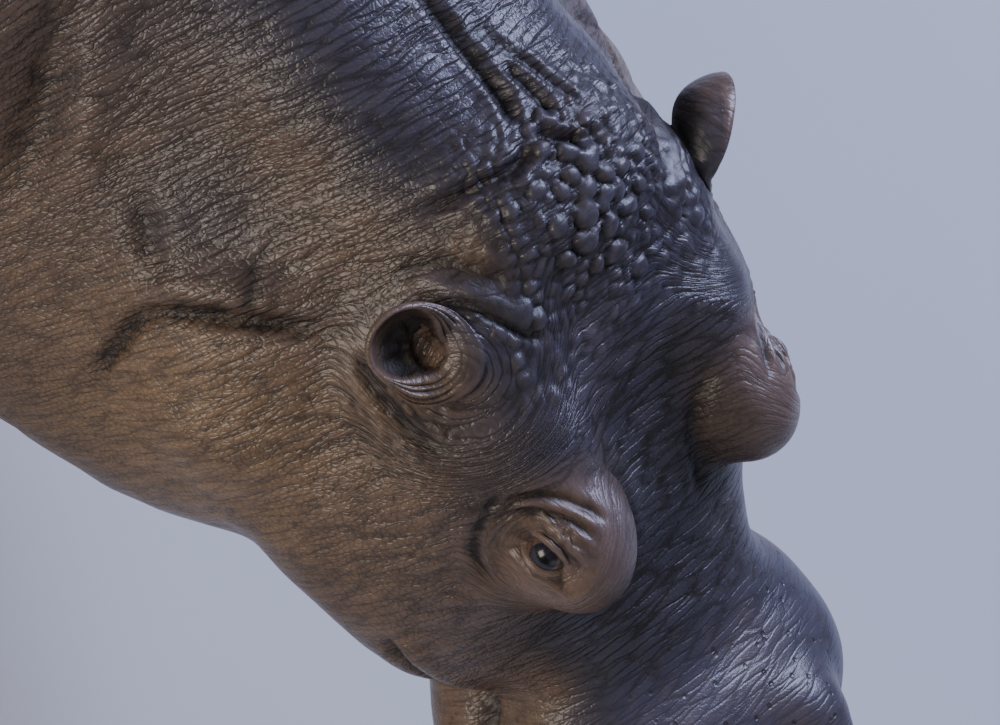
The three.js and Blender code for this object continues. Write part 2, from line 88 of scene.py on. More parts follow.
def along(stations, column, at):
    """A smooth curve through one column of a station list."""
    place, value = stations[:, 0], stations[:, column]
    slope = np.empty_like(value)
    slope[1:-1] = (value[2:] - value[:-2]) / (place[2:] - place[:-2])
    slope[0] = (value[1] - value[0]) / (place[1] - place[0])
    slope[-1] = (value[-1] - value[-2]) / (place[-1] - place[-2])
    at = np.clip(at, place[0], place[-1])
    i = np.clip(np.searchsorted(place, at, side="right") - 1, 0, len(place) - 2)
    width = place[i + 1] - place[i]
    t = (at - place[i]) / width
    return ((2 * t**3 - 3 * t**2 + 1) * value[i] + (t**3 - 2 * t**2 + t) * width * slope[i]
            + (3 * t**2 - 2 * t**3) * value[i + 1] + (t**3 - t**2) * width * slope[i + 1])


def loft(mass, x, place, height):
    stations, power = mass["stations"], mass["power"]
    top, bottom = along(stations, 1, place), along(stations, 2, place)
    half = (top - bottom) / 2
    rise = height - (top + bottom) / 2
    wide = along(stations, 3, place) * (1 - along(stations, 4, place) * np.clip(rise / half, -1, 1))
    ratio = (np.abs(x / wide) ** power + np.abs(rise / half) ** power) ** (1 / power)
    radius = np.hypot(x, rise)
    beyond = np.maximum(np.maximum(stations[0, 0] - place, place - stations[-1, 0]), 0)
    return np.where(ratio > 1e-6, radius - radius / np.maximum(ratio, 1e-6), -np.minimum(wide, half)) + beyond


def ellipsoid(x, y, z, centre, radii):
    px, py, pz = [(v - c) / r for v, c, r in zip((x, y, z), centre, radii)]
    k0 = np.sqrt(px**2 + py**2 + pz**2)
    k1 = np.sqrt((px / radii[0]) ** 2 + (py / radii[1]) ** 2 + (pz / radii[2]) ** 2)
    return np.where(k1 > 1e-6, k0 * (k0 - 1) / np.maximum(k1, 1e-6), -min(radii))


LIMB_BLEND = 0.03


def limb(x, y, z, joints):
    nearest = np.full_like(x, 1e6)
    for a, b in zip(joints, joints[1:]):
        run = [b[k] - a[k] for k in range(3)]
        dot = (x - a[0]) * run[0] + (y - a[1]) * run[1] + (z - a[2]) * run[2]
        t = np.clip(dot / sum(v * v for v in run), 0, 1)
        off = [v - a[k] - t * run[k] for k, v in enumerate((x, y, z))]
        near = np.sqrt(off[0] ** 2 + off[1] ** 2 + off[2] ** 2)
        ease = t * t * (3 - 2 * t)
        nearest = join(nearest, near - a[3] - ease * (b[3] - a[3]), LIMB_BLEND)
    return nearest


def lofted(power, *stations):
    """Stations [place, top, bottom, half width, taper] in millimetres, as one mass."""
    table = np.array(stations, float)
    table[:, :4] /= 1000
    return {"stations": table, "power": power}


def mound(centre, radii, blend, hollow=False):
    return {"centre": [v / 1000 for v in centre], "radii": [v / 1000 for v in radii],
            "blend": blend / 1000, "hollow": hollow}


def chain(blend, *joints):
    return {"joints": [[v / 1000 for v in joint] for joint in joints], "blend": blend / 1000}


# %% [markdown]
# ## The masses
# These are the sizes that the CAD solids were made from, in millimetres, for the left half.
# The trunk is a barrel, the head a wedge with a broad muzzle, and each eye sits on a turret.

# %% Masses of the trunk and legs
TORSO = [
    lofted(2.25,
           (-60, 1120, 760, 150, 0.3), (40, 1220, 640, 288, 0.34), (230, 1278, 575, 358, 0.44),
           (430, 1312, 545, 412, 0.38), (640, 1368, 525, 455, 0.24), (900, 1418, 480, 488, 0.11),
           (1250, 1424, 420, 532, 0.02), (1600, 1430, 396, 556, 0), (1950, 1440, 436, 546, 0.02),
           (2240, 1408, 530, 500, 0.06), (2440, 1322, 660, 410, 0.08), (2560, 1200, 810, 265, 0.05),
           (2620, 1090, 930, 110, 0)),
    mound((80, 310, 1190), (100, 230, 88), 80),  # roll of the nape
    mound((0, 640, 600), (210, 260, 130), 110),  # brisket
    mound((330, 790, 880), (165, 270, 360), 90),  # shoulder
    mound((330, 2180, 880), (215, 320, 380), 90),  # haunch
]
LEG_BLEND = 0.08
ANKLE_BLEND = 0.04
FORELEG = chain(80, (335, 800, 760, 185), (325, 860, 540, 146), (305, 800, 290, 108), (305, 780, 130, 104))
HINDLEG = chain(80, (325, 2180, 820, 235), (345, 2040, 590, 178), (312, 2190, 330, 108), (300, 2145, 140, 98))
FORE, HIND = (0.305, 0.770), (0.300, 2.110)
TAIL = [[0, 2.55, 1.16, 0.066], [0, 2.63, 1.05, 0.056], [0, 2.672, 0.94, 0.04], [0, 2.69, 0.85, 0.03],
        [0, 2.692, 0.77, 0.02]]
TAIL_FLAT = 0.75
TAIL_BLEND = 0.045
TOE_ANGLES = [math.radians(a) for a in (-58, -20, 20, 58)]
TOE_REACH, TOE_HEIGHT, TOE_RADII, TOE_BLEND = 0.074, 0.034, (0.044, 0.048, 0.050), 0.022
PAD_BACK, PAD_HEIGHT, PAD_RADII = 0.006, 0.052, (0.110, 0.118, 0.096)

# %% Masses of the head
FACE = [
    lofted(2.5,
           (-250, -60, -250, 90, 0.2), (-190, 8, -330, 190, 0.3), (-110, 46, -370, 222, 0.36),
           (-30, 44, -380, 244, 0.36), (60, 34, -380, 262, 0.36), (150, 16, -360, 262, 0.34),
           (240, -8, -330, 236, 0.3), (330, -34, -290, 190, 0.12), (420, -52, -250, 160, -0.04),
           (510, -60, -235, 158, -0.08), (590, -44, -236, 196, 0), (640, -52, -228, 190, 0),
           (690, -80, -210, 140, 0), (715, -120, -175, 60, 0)),
    mound((0, -98, 18), (130, 78, 52), 50),  # crown
    chain(46, (128, 225, -12, 50), (128, 120, -16, 50), (112, -10, -22, 56)),  # brow
    chain(90, (150, 230, -80, 60), (176, 120, -96, 78), (172, 10, -90, 72)),  # cheekbone
    mound((190, -30, -300), (165, 240, 155), 80),  # jowl
    mound((160, 220, -220), (140, 190, 120), 120),  # cheek
    mound((150, -8, -20), (48, 50, 40), 40),  # ear mound
    mound((0, 205, 62), (58, 120, 58), 50, hollow=True),  # forehead hollow
    mound((145, 252, -4), (61, 74, 57), 34),  # eye turret
    mound((0, 636, -136), (206, 126, 98), 50),  # muzzle
    mound((134, 590, -165), (102, 140, 88), 50),  # lip pad
    mound((90, 662, -54), (50, 64, 44), 40),  # nostril mound
]
MANDIBLE = [
    lofted(2.4,
           (-60, -270, -390, 110, 0), (40, -240, -430, 190, -0.1), (160, -215, -446, 205, -0.1),
           (270, -200, -430, 182, -0.05), (380, -190, -402, 160, 0), (480, -190, -388, 165, 0),
           (570, -190, -378, 184, 0.05), (630, -200, -358, 160, 0.05), (670, -220, -330, 110, 0),
           (690, -250, -300, 50, 0)),
    mound((140, 60, -352), (140, 220, 104), 90),  # throat
    mound((132, 560, -285), (84, 120, 78), 50),  # tusk swelling
    mound((0, 600, -292), (168, 104, 84), 50),  # chin
]
MOUTH_BLEND = 0.024
NECK_BLEND = 0.09
print("masses:", len(TORSO), "of the trunk,", len(FACE) + len(MANDIBLE), "of the head")


# %% The whole field
def gather(masses, x, y, z):
    d = np.full_like(x, 1e3)
    for mass in masses:
        if "stations" in mass:
            d = loft(mass, x, y, z)
            continue
        if "joints" in mass:
            near = limb(x, y, z, mass["joints"])
        else:
            near = ellipsoid(x, y, z, mass["centre"], mass["radii"])
        d = carve(d, near, mass["blend"]) if mass.get("hollow") else join(d, near, mass["blend"])
    return d


def foot(x, y, z, place):
    d = ellipsoid(x, y, z, (place[0], place[1] + PAD_BACK, PAD_HEIGHT), PAD_RADII)
    for angle in TOE_ANGLES:
        centre = (place[0] + math.sin(angle) * TOE_REACH, place[1] - math.cos(angle) * TOE_REACH, TOE_HEIGHT)
        d = join(d, ellipsoid(x, y, z, centre, TOE_RADII), TOE_BLEND)
    return d


def flesh(points):
    """Distance to the flesh of points in the frame, without ears and tail."""
    x = np.abs(points[:, 0])
    y, z = points[:, 1] - EAR_MIDDLE[1], points[:, 2]
    d = np.full_like(x, 1e3)
    near = y > -0.3
    d[near] = gather(TORSO, x[near], y[near], z[near])
    for leg, place, front, back in ((FORELEG, FORE, 0.4, 1.25), (HINDLEG, HIND, 1.7, 2.65)):
        near = (y > front) & (y < back) & (z < 1.2)
        spot = x[near], y[near], z[near]
        d[near] = join(d[near], join(limb(*spot, leg["joints"]), foot(*spot, place), ANKLE_BLEND), LEG_BLEND)
    near = y < 0.5
    _, f, u = to_head(points[near]).T
    head = join(gather(FACE, x[near], f, u), gather(MANDIBLE, x[near], f, u), MOUTH_BLEND)
    d[near] = join(d[near], head, NECK_BLEND)
    return d


# %% [markdown]
# ## Tail and lids in the field
# The tail joins the rump, and a ball a little larger than each eye lifts the hide over it,
# so that there is flesh for the lids. The ears are thin cups, so they are made apart, further on.

# %% The body's field with tail and lids
LID_BALL = mound((189, 229, 1), (27.5, 27.5, 27.5), 12)


def unit(v):
    return np.asarray(v, float) / np.linalg.norm(v)


def tail(points):
    x, y, z = points[:, 0] / TAIL_FLAT, points[:, 1] - EAR_MIDDLE[1], points[:, 2]
    return limb(x, y, z, TAIL) * TAIL_FLAT


def whole_body(points):
    d = flesh(points)
    near_tail = points[:, 1] > 1.2
    if near_tail.any():
        d[near_tail] = join(d[near_tail], tail(points[near_tail]), TAIL_BLEND)
    x, f, u = to_head(points).T
    near_eye = np.abs(f - 0.23) < 0.1
    if near_eye.any():
        x, f, u = np.abs(x[near_eye]), f[near_eye], u[near_eye]
        ball = ellipsoid(x, f, u, LID_BALL["centre"], LID_BALL["radii"])
        d[near_eye] = join(d[near_eye], ball, LID_BALL["blend"])
    return d


def slope_of(points, field, here, step=0.0006):
    slope = np.empty_like(points)
    for k in range(3):
        shift = np.zeros(3)
        shift[k] = step
        slope[:, k] = (field(points + shift) - here) / step
    return slope


def settled(points, field, rounds=2, reach=0.03):
    """The points, moved along the field's slope until they lie on its zero."""
    points = np.array(points, float)
    for _ in range(rounds):
        d = field(points)
        slope = slope_of(points, field, d)
        steep = np.maximum((slope**2).sum(axis=1), 0.3)
        move = slope * (d / steep)[:, None]
        length = np.linalg.norm(move, axis=1)
        points -= move * np.minimum(1, reach / np.maximum(length, 1e-9))[:, None]
    return points


# %% [markdown]
# ## One hide over all the flesh
# The solids are copied, thickened where the tail is thin, and melted by a voxel remesh into
# one closed mesh with even quads. The copies' own facets vanish as its points settle on the field.

# %% The rough hide
VOXEL = 0.028
FLESH_NODES = ["head", "lower_jaw", "neck", "trunk", "tail"]
FLESH_NODES += [f"{pair}{part}_{side}" for pair in ("fore", "hind") for part in ("leg", "foot")
                for side in ("left", "right")]


def copy_into(bm, node):
    piece = bmesh.new()
    piece.from_mesh(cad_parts[node].data)
    bmesh.ops.remove_doubles(piece, verts=piece.verts, dist=1e-5)
    mesh = bpy.data.meshes.new("copy")
    piece.to_mesh(mesh)
    piece.free()
    bm.from_mesh(mesh)
    bpy.data.meshes.remove(mesh)


def add_plug(bm, centre, axes, radii):
    """A solid ellipsoid, set where the flesh is too thin for the remesh."""
    turn = Matrix([list(row) for row in np.asarray(axes).T]).to_4x4()
    place = Matrix.Translation(Vector(centre)) @ turn @ Matrix.Diagonal((*radii, 1))
    bmesh.ops.create_icosphere(bm, subdivisions=3, radius=1, matrix=place)


rough = bmesh.new()
for node in FLESH_NODES:
    copy_into(rough, node)
for joint, after in zip(TAIL, TAIL[1:]):
    for t in (0.0, 0.25, 0.5, 0.75, 1.0):
        spot = [p + t * (q - p) for p, q in zip(joint, after)]
        add_plug(rough, (0, spot[1] + EAR_MIDDLE[1], spot[2]), np.eye(3), [max(spot[3], 0.03)] * 3)

hide_mesh = bpy.data.meshes.new("hide")
rough.to_mesh(hide_mesh)
rough.free()
hide = bpy.data.objects.new("hide", hide_mesh)
bpy.context.scene.collection.objects.link(hide)
remesh = hide.modifiers.new("melt", "REMESH")
remesh.mode = "VOXEL"
remesh.voxel_size = VOXEL
melted = bpy.data.meshes.new_from_object(hide.evaluated_get(bpy.context.evaluated_depsgraph_get()))
hide.modifiers.clear()
hide.data = melted
print("rough hide", len(melted.polygons), "faces")

# %% [markdown]
# ## Finer where the eye rests
# A sculptor keeps big quads on the barrel of the body and small ones on the face. Each pass halves
# the edges in a region, relaxes the mesh and settles it on the field again.

# %% Subdividing by region
def coordinates(bm):
    return np.array([v.co for v in bm.verts])


def put_back(bm, points):
    for v, p in zip(bm.verts, points):
        v.co = p


def relax(bm, chosen, rounds, field):
    verts = [v for v, keep in zip(bm.verts, chosen) if keep]
    for _ in range(rounds):
        bmesh.ops.smooth_vert(bm, verts=verts, factor=0.5, use_axis_x=True, use_axis_y=True, use_axis_z=True)
    points = coordinates(bm)
    points[chosen] = settled(points[chosen], field)
    put_back(bm, points)


def refine(bm, inside, field, rounds=2):
    """Halves every edge whose two ends are inside the region."""
    chosen = inside(coordinates(bm))
    for v, keep in zip(bm.verts, chosen):
        v.tag = bool(keep)
    edges = [e for e in bm.edges if e.verts[0].tag and e.verts[1].tag]
    bmesh.ops.subdivide_edges(bm, edges=edges, cuts=1, use_grid_fill=True)
    relax(bm, inside(coordinates(bm)), rounds, field)
    print("refined to", len(bm.verts), "points")


def half_region(points):
    return (points[:, 1] - EAR_MIDDLE[1] < 0.56) | (points[:, 2] < 0.32)


def toe_region(points):
    y, z = points[:, 1] - EAR_MIDDLE[1], points[:, 2]
    ahead = (y < FORE[1] + 0.03) | ((y > 1.6) & (y < HIND[1] + 0.03))
    return (z < 0.105) & ahead


def tail_region(points):
    x, y, z = np.abs(points[:, 0]), points[:, 1] - EAR_MIDDLE[1], points[:, 2]
    return (y > 2.55) & (x < 0.09) & (z > 0.7) & (z < 1.18)


def seen_region(points):
    _, f, u = to_head(points).T
    return (points[:, 1] - EAR_MIDDLE[1] < 0.52) & (u > -0.36) & ~((f > 0.36) & (u < -0.24))


EYE_SPOT = np.array([0.189, 0.229, 0.001])
EAR_ROOT = np.array([0.203, 0.0, 0.004])


def from_spot(points, spot):
    """Distance from a spot given for the left half of the head."""
    x, f, u = to_head(points).T
    return np.linalg.norm(np.stack([np.abs(x), f, u], 1) - spot, axis=1)


def fine_region(points):
    x, f, u = to_head(points).T
    crown = (np.abs(x) < 0.12) & (f > -0.24) & (f < 0.03) & (u > -0.02)
    return crown | (from_spot(points, EYE_SPOT) < 0.075) | (from_spot(points, EAR_ROOT) < 0.075)


def lid_region(points):
    return from_spot(points, EYE_SPOT) < 0.043


bm = bmesh.new()
bm.from_mesh(melted)
everything = np.ones(len(bm.verts), bool)
relax(bm, everything, 3, whole_body)
for region in (half_region, tail_region, toe_region, seen_region, fine_region, lid_region):
    refine(bm, region, whole_body)
print("smooth hide", len(bm.verts), "points", sum(len(f.verts) - 2 for f in bm.faces), "triangles")

# %% [markdown]
# ## Ears
# Each ear is a cup on a short root. Its surface is one grid: the first rows climb the back of
# the cup from the head, the next cross the rim, thin at the tip and a broad roll at the base,
# and the last go down to the pit. The hide is opened under it, the two rings are bridged, and
# the join is rubbed smooth, as a sculptor would with a thumb.

# %% The ear's own axes
EARS = {
    1: {"root": (0.2007, 0.001, 0.002), "tip": (0.65, -0.78, 0.0), "open": (0.776, 0.596, 0.24)},
    -1: {"root": (0.2046, -0.002, 0.005), "tip": (0.56, -0.79, -0.25), "open": (0.42, -0.02, 0.90)},
}


def ear_axes(side):
    """Rows a (to the tip), w (across) and o (out of the cup), in the head's axes."""
    a = unit(EARS[side]["tip"])
    o = np.array(EARS[side]["open"])
    o = unit(o - a * np.dot(o, a))
    return np.array([a, np.cross(a, o), o])


def from_ear(local, side):
    head = local @ ear_axes(side) + np.array(EARS[side]["root"])
    return from_head(head * (side, 1, 1))


def to_ear(points, side):
    head = to_head(points) * (side, 1, 1)
    return (head - np.array(EARS[side]["root"])) @ ear_axes(side).T


# %% Shape of the cup
CUP_MIDDLE, CUP_TIP, CUP_BASE, CUP_HALF = 0.042, 0.072, 0.060, 0.055
TIP_CURL = 0.010
FLAT_TURN, FLATTENING, FLAT_WIDTH = 5.06, 0.16, 0.55  # where the rim is straighter
RIM_THIN, RIM_THICK = 0.0065, 0.036
PIT = np.array([0.052, 0.006, -0.030])
FOOTPRINT_AHEAD, FOOTPRINT_RADII = 0.018, (0.042, 0.045)
OUTER_ROWS, RIM_ROWS, INNER_ROWS, EAR_STEPS = 13, 24, 14, 64


def mix(a, b, t):
    return a + (b - a) * t


def ridge(value, place, width):
    """1 where the value is at the place, and close to 0 from two widths away."""
    return np.exp(-(((value - place) / width) ** 2))


def root_frame(side):
    """Middle and axes of the ring on the head that the ear grows from, flat on the hide."""
    middle = settled(from_ear(np.array([[FOOTPRINT_AHEAD, 0, 0]]), side), whole_body, rounds=4)
    up = unit(slope_of(middle, whole_body, whole_body(middle))[0])
    tipward = ear_axes(side)[0] * (side, 1, 1) @ HEAD_AXES
    tipward = unit(tipward - up * np.dot(tipward, up))
    across = ear_axes(side)[1] * (side, 1, 1) @ HEAD_AXES
    across = unit(across - up * np.dot(across, up) - tipward * np.dot(across, tipward))
    return middle[0], tipward, across


def footprint(turn, side, scale=1.0):
    middle, tipward, across = root_frame(side)
    ring = (middle + scale * FOOTPRINT_RADII[0] * np.outer(np.cos(turn), tipward)
            + scale * FOOTPRINT_RADII[1] * np.outer(np.sin(turn), across))
    return settled(ring, whole_body, rounds=4)


def footprint_polar(points, side):
    middle, tipward, across = root_frame(side)
    along_tip = (points - middle) @ tipward / FOOTPRINT_RADII[0]
    sideways = (points - middle) @ across / FOOTPRINT_RADII[1]
    return np.hypot(along_tip, sideways), np.arctan2(sideways, along_tip)


def ear_surface(turn, row, side):
    """Points of the ear in its own axes. The turn is 0 at the tip; row runs 0 to 3."""
    tipward = np.cos(turn)
    to_tip = np.clip(tipward, 0, 1)
    to_base = np.clip(0.5 - 0.75 * tipward, 0, 1)
    to_base = to_base * to_base * (3 - 2 * to_base)
    reach = np.where(tipward > 0, CUP_TIP, CUP_BASE)
    flat = 1 - FLATTENING * ridge((turn - FLAT_TURN + np.pi) % (2 * np.pi), np.pi, FLAT_WIDTH)
    rim = np.stack([CUP_MIDDLE + reach * tipward * flat, CUP_HALF * np.sin(turn) * flat,
                    TIP_CURL * to_tip**2 - 0.004 * to_base], 1)
    thick = mix(RIM_THIN, RIM_THICK, to_base)
    inward = PIT * (1, 1, 0) - rim * (1, 1, 0)
    inward /= np.linalg.norm(inward, axis=1)[:, None]
    hollow = rim + inward * thick[:, None]
    hollow[:, 2] -= 0.001 + 0.003 * to_base
    base = to_ear(footprint(turn, side), side)

    outer, across, down = np.clip(row, 0, 1), np.clip(row - 1, 0, 1), np.clip(row - 2, 0, 1)
    belly = np.sin(np.pi * outer) ** 0.8
    radial = -inward
    out = mix(base, rim, outer[:, None])
    out[:, 2] -= belly * mix(0.006, 0.020, to_tip)
    out += radial * (belly * mix(0.002, 0.008, to_tip))[:, None]
    crest = mix(rim, hollow, across[:, None])
    crest[:, 2] += np.sin(np.pi * across) ** 0.7 * mix(0.0035, 0.0075, to_base)
    inner = mix(hollow, PIT, (down**0.9)[:, None])
    inner[:, 2] -= np.sin(np.pi * down**0.7) * mix(0.010, 0.012, to_base)
    inner += radial * (np.sin(np.pi * down**0.8) * mix(0.005, 0.0, to_base))[:, None]
    points = np.where((row <= 1)[:, None], out, np.where((row <= 2)[:, None], crest, inner))
    return points, to_base


# %% Furrows and lumps of the ear
EAR_FURROWS = (0.10, 0.30, 0.50, 0.72)  # parts of the way across the rim
FURROW_WIDTH, FURROW_DEPTH = 0.055, 0.0048
EAR_LUMPS = [(0.066, 0.012, 0.007, 0.005), (0.066, -0.007, 0.008, 0.005), (0.052, 0.000, 0.007, 0.006),
             (0.044, -0.010, 0.008, 0.007), (0.036, -0.020, 0.009, 0.006), (0.078, -0.018, 0.010, 0.003),
             (0.060, -0.028, 0.010, 0.003)]


def finish_ear(points, row, to_base, side):
    across = row - 1
    for k, spot in enumerate(EAR_FURROWS):
        wander = 0.03 * np.sin(points[:, 1] * 90 + k * 2.1)
        points[:, 2] -= FURROW_DEPTH * ridge(across - wander, spot, FURROW_WIDTH) * to_base
    for a, w, radius, height in EAR_LUMPS:
        near = ((points[:, 0] - a) ** 2 + (points[:, 1] - w) ** 2) / radius**2
        points[:, 2] += height * np.exp(-near * 1.6) * np.clip((row - 2.1) / 0.2, 0, 1)
    placed = from_ear(points, side)
    clear = 0.0015 + 0.0065 * to_base * np.sin(np.pi * np.clip(row / 2, 0, 1)) ** 0.7
    rise = np.clip(row / 0.15, 0, 1) * clear
    height = whole_body(placed)
    lift = np.maximum(rise - height, 0) * np.clip((2.25 - row) / 0.25, 0, 1)
    placed += slope_of(placed, whole_body, height) * lift[:, None]
    return placed


def make_ear(side):
    piece = bmesh.new()
    rows = OUTER_ROWS + RIM_ROWS + INNER_ROWS
    bmesh.ops.create_grid(piece, x_segments=EAR_STEPS, y_segments=rows, size=0.5)
    grid = coordinates(piece)
    turn = (grid[:, 0] + 0.5) * 2 * np.pi
    spots = np.array([0, OUTER_ROWS, OUTER_ROWS + RIM_ROWS, rows]) / rows
    row = np.interp(grid[:, 1] + 0.5, spots, [0, 1, 2, 3])
    local, to_base = ear_surface(turn, row, side)
    placed = finish_ear(local, row, to_base, side)
    put_back(piece, placed)
    bmesh.ops.remove_doubles(piece, verts=piece.verts, dist=2e-5)
    mesh = bpy.data.meshes.new("ear")
    piece.to_mesh(mesh)
    piece.free()
    return mesh


# %% Opening the hide and bridging
def graft_ear(bm, side):
    points = coordinates(bm)
    near = from_spot(points, EAR_ROOT) < 0.1
    near &= points[:, 0] * side > 0
    radius, _ = footprint_polar(points, side)
    bm.verts.ensure_lookup_table()
    inside = [bm.verts[i] for i in np.flatnonzero(near & (radius < 1.06))]
    bmesh.ops.delete(bm, geom=inside, context="VERTS")
    hole = [v for v in bm.verts if v.is_boundary]
    _, angle = footprint_polar(np.array([v.co for v in hole]), side)
    for v, spot in zip(hole, footprint(angle, side, scale=1.1)):
        v.co = spot
    bm.from_mesh(make_ear(side))
    bmesh.ops.bridge_loops(bm, edges=[e for e in bm.edges if e.is_boundary])
    left_open = sum(e.is_boundary for e in bm.edges)
    points = coordinates(bm)
    radius, _ = footprint_polar(points, side)
    near = (from_spot(points, EAR_ROOT) < 0.1) & (points[:, 0] * side > 0)
    near &= (np.abs(radius - 1.05) < 0.22) & (whole_body(points) < 0.004)
    bm.verts.ensure_lookup_table()
    band = [bm.verts[i] for i in np.flatnonzero(near)]
    for _ in range(5):
        bmesh.ops.smooth_vert(bm, verts=band, factor=0.5, use_axis_x=True, use_axis_y=True, use_axis_z=True)
    print("ear", side, "grafted,", left_open, "open edges, band of", len(band))


for side in (1, -1):
    graft_ear(bm, side)
bmesh.ops.triangulate(bm, faces=[f for f in bm.faces if len(f.verts) > 4])
bmesh.ops.recalc_face_normals(bm, faces=bm.faces)

# %% [markdown]
# ## Creases, folds and warts
# A hippo's hide is thick and bends in deep creases with a soft roll beside each one. They could be
# sculpted by hand, but lines in code can be moved and tried again. A crease is a line laid on
# the hide: points near it go in, points a little further off come out. Lines are given in
# millimetres in the head's axes, most of them for the left half and used on both. The crown is
# covered with warts, which are flat domes in narrow ditches, and between them with small cobbles,
# which are the cells of a Voronoi pattern.

# %% Lines laid on the hide
def smooth_line(points, parts=8):
    """A curve through the points, by Catmull-Rom pieces."""
    points = np.array(points, float)
    ends = np.vstack([2 * points[0] - points[1], points, 2 * points[-1] - points[-2]])
    made = []
    for a, b, c, e in zip(ends, ends[1:], ends[2:], ends[3:]):
        for t in np.arange(parts) / parts:
            made.append(0.5 * (2 * b + (c - a) * t + (2 * a - 5 * b + 4 * c - e) * t**2
                               + (3 * b - a - 3 * c + e) * t**3))
    return np.array(made + [points[-1]])


def off_line(points, line):
    """Distance of each point to a line, and how far along it the nearest place is, 0 to 1."""
    best = np.full(len(points), 1e3)
    where = np.zeros(len(points))
    for k, (a, b) in enumerate(zip(line, line[1:])):
        run = b - a
        t = np.clip((points - a) @ run / (run @ run), 0, 1)
        near = np.linalg.norm(points - a - t[:, None] * run, axis=1)
        closer = near < best
        best[closer] = near[closer]
        where[closer] = (k + t[closer]) / (len(line) - 1)
    return best, where


CREASE_REACH = 4.5  # widths beyond which a crease does nothing
WIDE_CREASE = 15  # millimetres from which a crease fades in and out slowly


def crease(points, line, width, depth, roll, ends=0.3):
    """Height to add at each point, in metres, and how deep in the crease it is, 0 to 1, which later sets the
    crease's painted shade.
    """
    height, shade_in_hollows = np.zeros(len(points)), np.zeros(len(points))
    low, high = line.min(0) - CREASE_REACH * width, line.max(0) + CREASE_REACH * width
    near = ((points > low) & (points < high)).all(axis=1)
    if not near.any():
        return height, shade_in_hollows
    away, where = off_line(points[near], line)
    fade = np.clip(np.minimum(where, 1 - where) / ends, 0, 1) if ends else 1.0
    fade = fade * fade * (3 - 2 * fade)
    groove = ridge(away, 0, width) * fade
    bulge = ridge(away, 2 * width, 1.1 * width) * fade
    height[near] = roll * bulge - depth * groove
    shade_in_hollows[near] = groove
    return height, shade_in_hollows


# %% The creases and rolls of head and neck
# name: (sides, width, depth, roll beside it, points), in millimetres. A depth below zero is a swelling.
CREASES = {
    "dorsal groove": ("one", 8, 12, 4, [(-14, -420, -90), (-13, -326, -41), (-12, -296, -31),
                                        (-11, -262, -17), (-11, -234, -1), (-19, -211, 18), (-33, -190, 37)]),
    "nape fold, right": ("one", 8, 11, 3, [(-33, -190, 37), (-46, -173, 48), (-67, -167, 48), (-88, -168, 39),
                                           (-114, -166, 22), (-138, -162, 1), (-162, -155, -23)]),
    "nape fold, left": ("one", 7, 9, 3, [(-39, -181, 43), (-12, -176, 48), (1, -165, 56), (21, -150, 64),
                                         (48, -143, 64), (82, -137, 58)]),
    "nape lobe": ("one", 6, 7, 2, [(13, -244, -7), (18, -217, 12), (17, -196, 32), (5, -180, 45)]),
    "nape lobe, outer": ("one", 6, 6, 2, [(19, -288, -27), (29, -254, -12), (43, -227, 4), (49, -197, 28),
                                          (57, -166, 51)]),
    "shoulder crease": ("both", 26, 14, 6, [(262, -540, -205), (290, -494, -235), (312, -450, -261),
                                            (328, -406, -283), (353, -350, -321), (376, -297, -359),
                                            (380, -250, -420)]),
    "neck groove": ("both", 15, 6, 3, [(292, -300, -243), (304, -262, -247), (313, -226, -246),
                                       (325, -191, -248), (340, -156, -258)]),
    "jowl crease": ("both", 9, 11, 3, [(350, -60, -400), (366, -95, -350), (364, -120, -309),
                                       (352, -142, -279), (335, -146, -245), (313, -130, -204),
                                       (291, -112, -174), (258, -84, -128), (229, -60, -73)]),
    "roll above the jowl": ("both", 24, -12, 0, [(356, -150, -310), (338, -176, -268), (318, -166, -215),
                                                 (292, -148, -178), (262, -122, -132), (236, -96, -84)]),
    "jowl swell": ("both", 30, -9, 0, [(352, -128, -278), (340, -100, -238), (316, -78, -195),
                                       (289, -54, -158), (262, -36, -117)]),
    "broad of the jowl": ("both", 60, -15, 0, [(372, -60, -350), (366, -29, -294), (346, 5, -237),
                                               (317, 33, -186), (285, 56, -135)]),
    "turret fold, upper": ("both", 4, 3, 2, [(230, 176, -31), (217, 168, -14), (198, 171, 4), (182, 186, 24),
                                             (169, 208, 42), (159, 239, 53)]),
    "turret fold, outer": ("both", 5, 4, 2, [(221, 155, -15), (199, 155, 7), (175, 168, 26), (154, 193, 43),
                                             (138, 225, 54)]),
    "short neck crease": ("both", 7, 2.5, 1, [(259, -163, -157), (277, -140, -168), (289, -115, -173)]),
    "ear roof": ("both", 11, -7, 0, [(199, -84, -45), (181, -92, -21), (165, -77, 8), (148, -50, 31),
                                     (121, -19, 42), (93, 12, 39)]),
    "under the ear roof": ("both", 5, 5, 1, [(183, -73, -11), (166, -59, 16), (153, -34, 33), (132, -4, 41),
                                             (95, 30, 37)]),
    "behind the ear roof": ("both", 6, 4, 1, [(197, -104, -55), (175, -112, -26), (155, -104, 3),
                                              (139, -80, 28), (119, -54, 42)]),
    "cheek fold": ("both", 9, 5, 3, [(232, -50, -90), (246, -7, -80), (240, 46, -62), (222, 90, -40)]),
    "turret, behind": ("both", 6, 4, 2, [(214, 140, 2), (228, 160, -20), (236, 185, -42), (236, 216, -56),
                                         (222, 250, -62)]),
    "brow foot": ("both", 9, 5, 2, [(60, 330, -35), (64, 290, -22), (62, 250, -14), (70, 205, 6),
                                    (96, 172, 30)]),
}
print(len(CREASES), "creases and rolls")

# %% Cobbles and soft waves
def cobble(points, cell, seed):
    """1 on the middle of each small cushion of skin, 0 in the cracks between them."""
    made = np.zeros(len(points))
    for k, p in enumerate(points):
        gaps, _ = noise.voronoi(Vector(p) / cell + Vector((seed, 0, 0)))
        made[k] = min((gaps[1] - gaps[0]) * 1.6, 1)
    return made


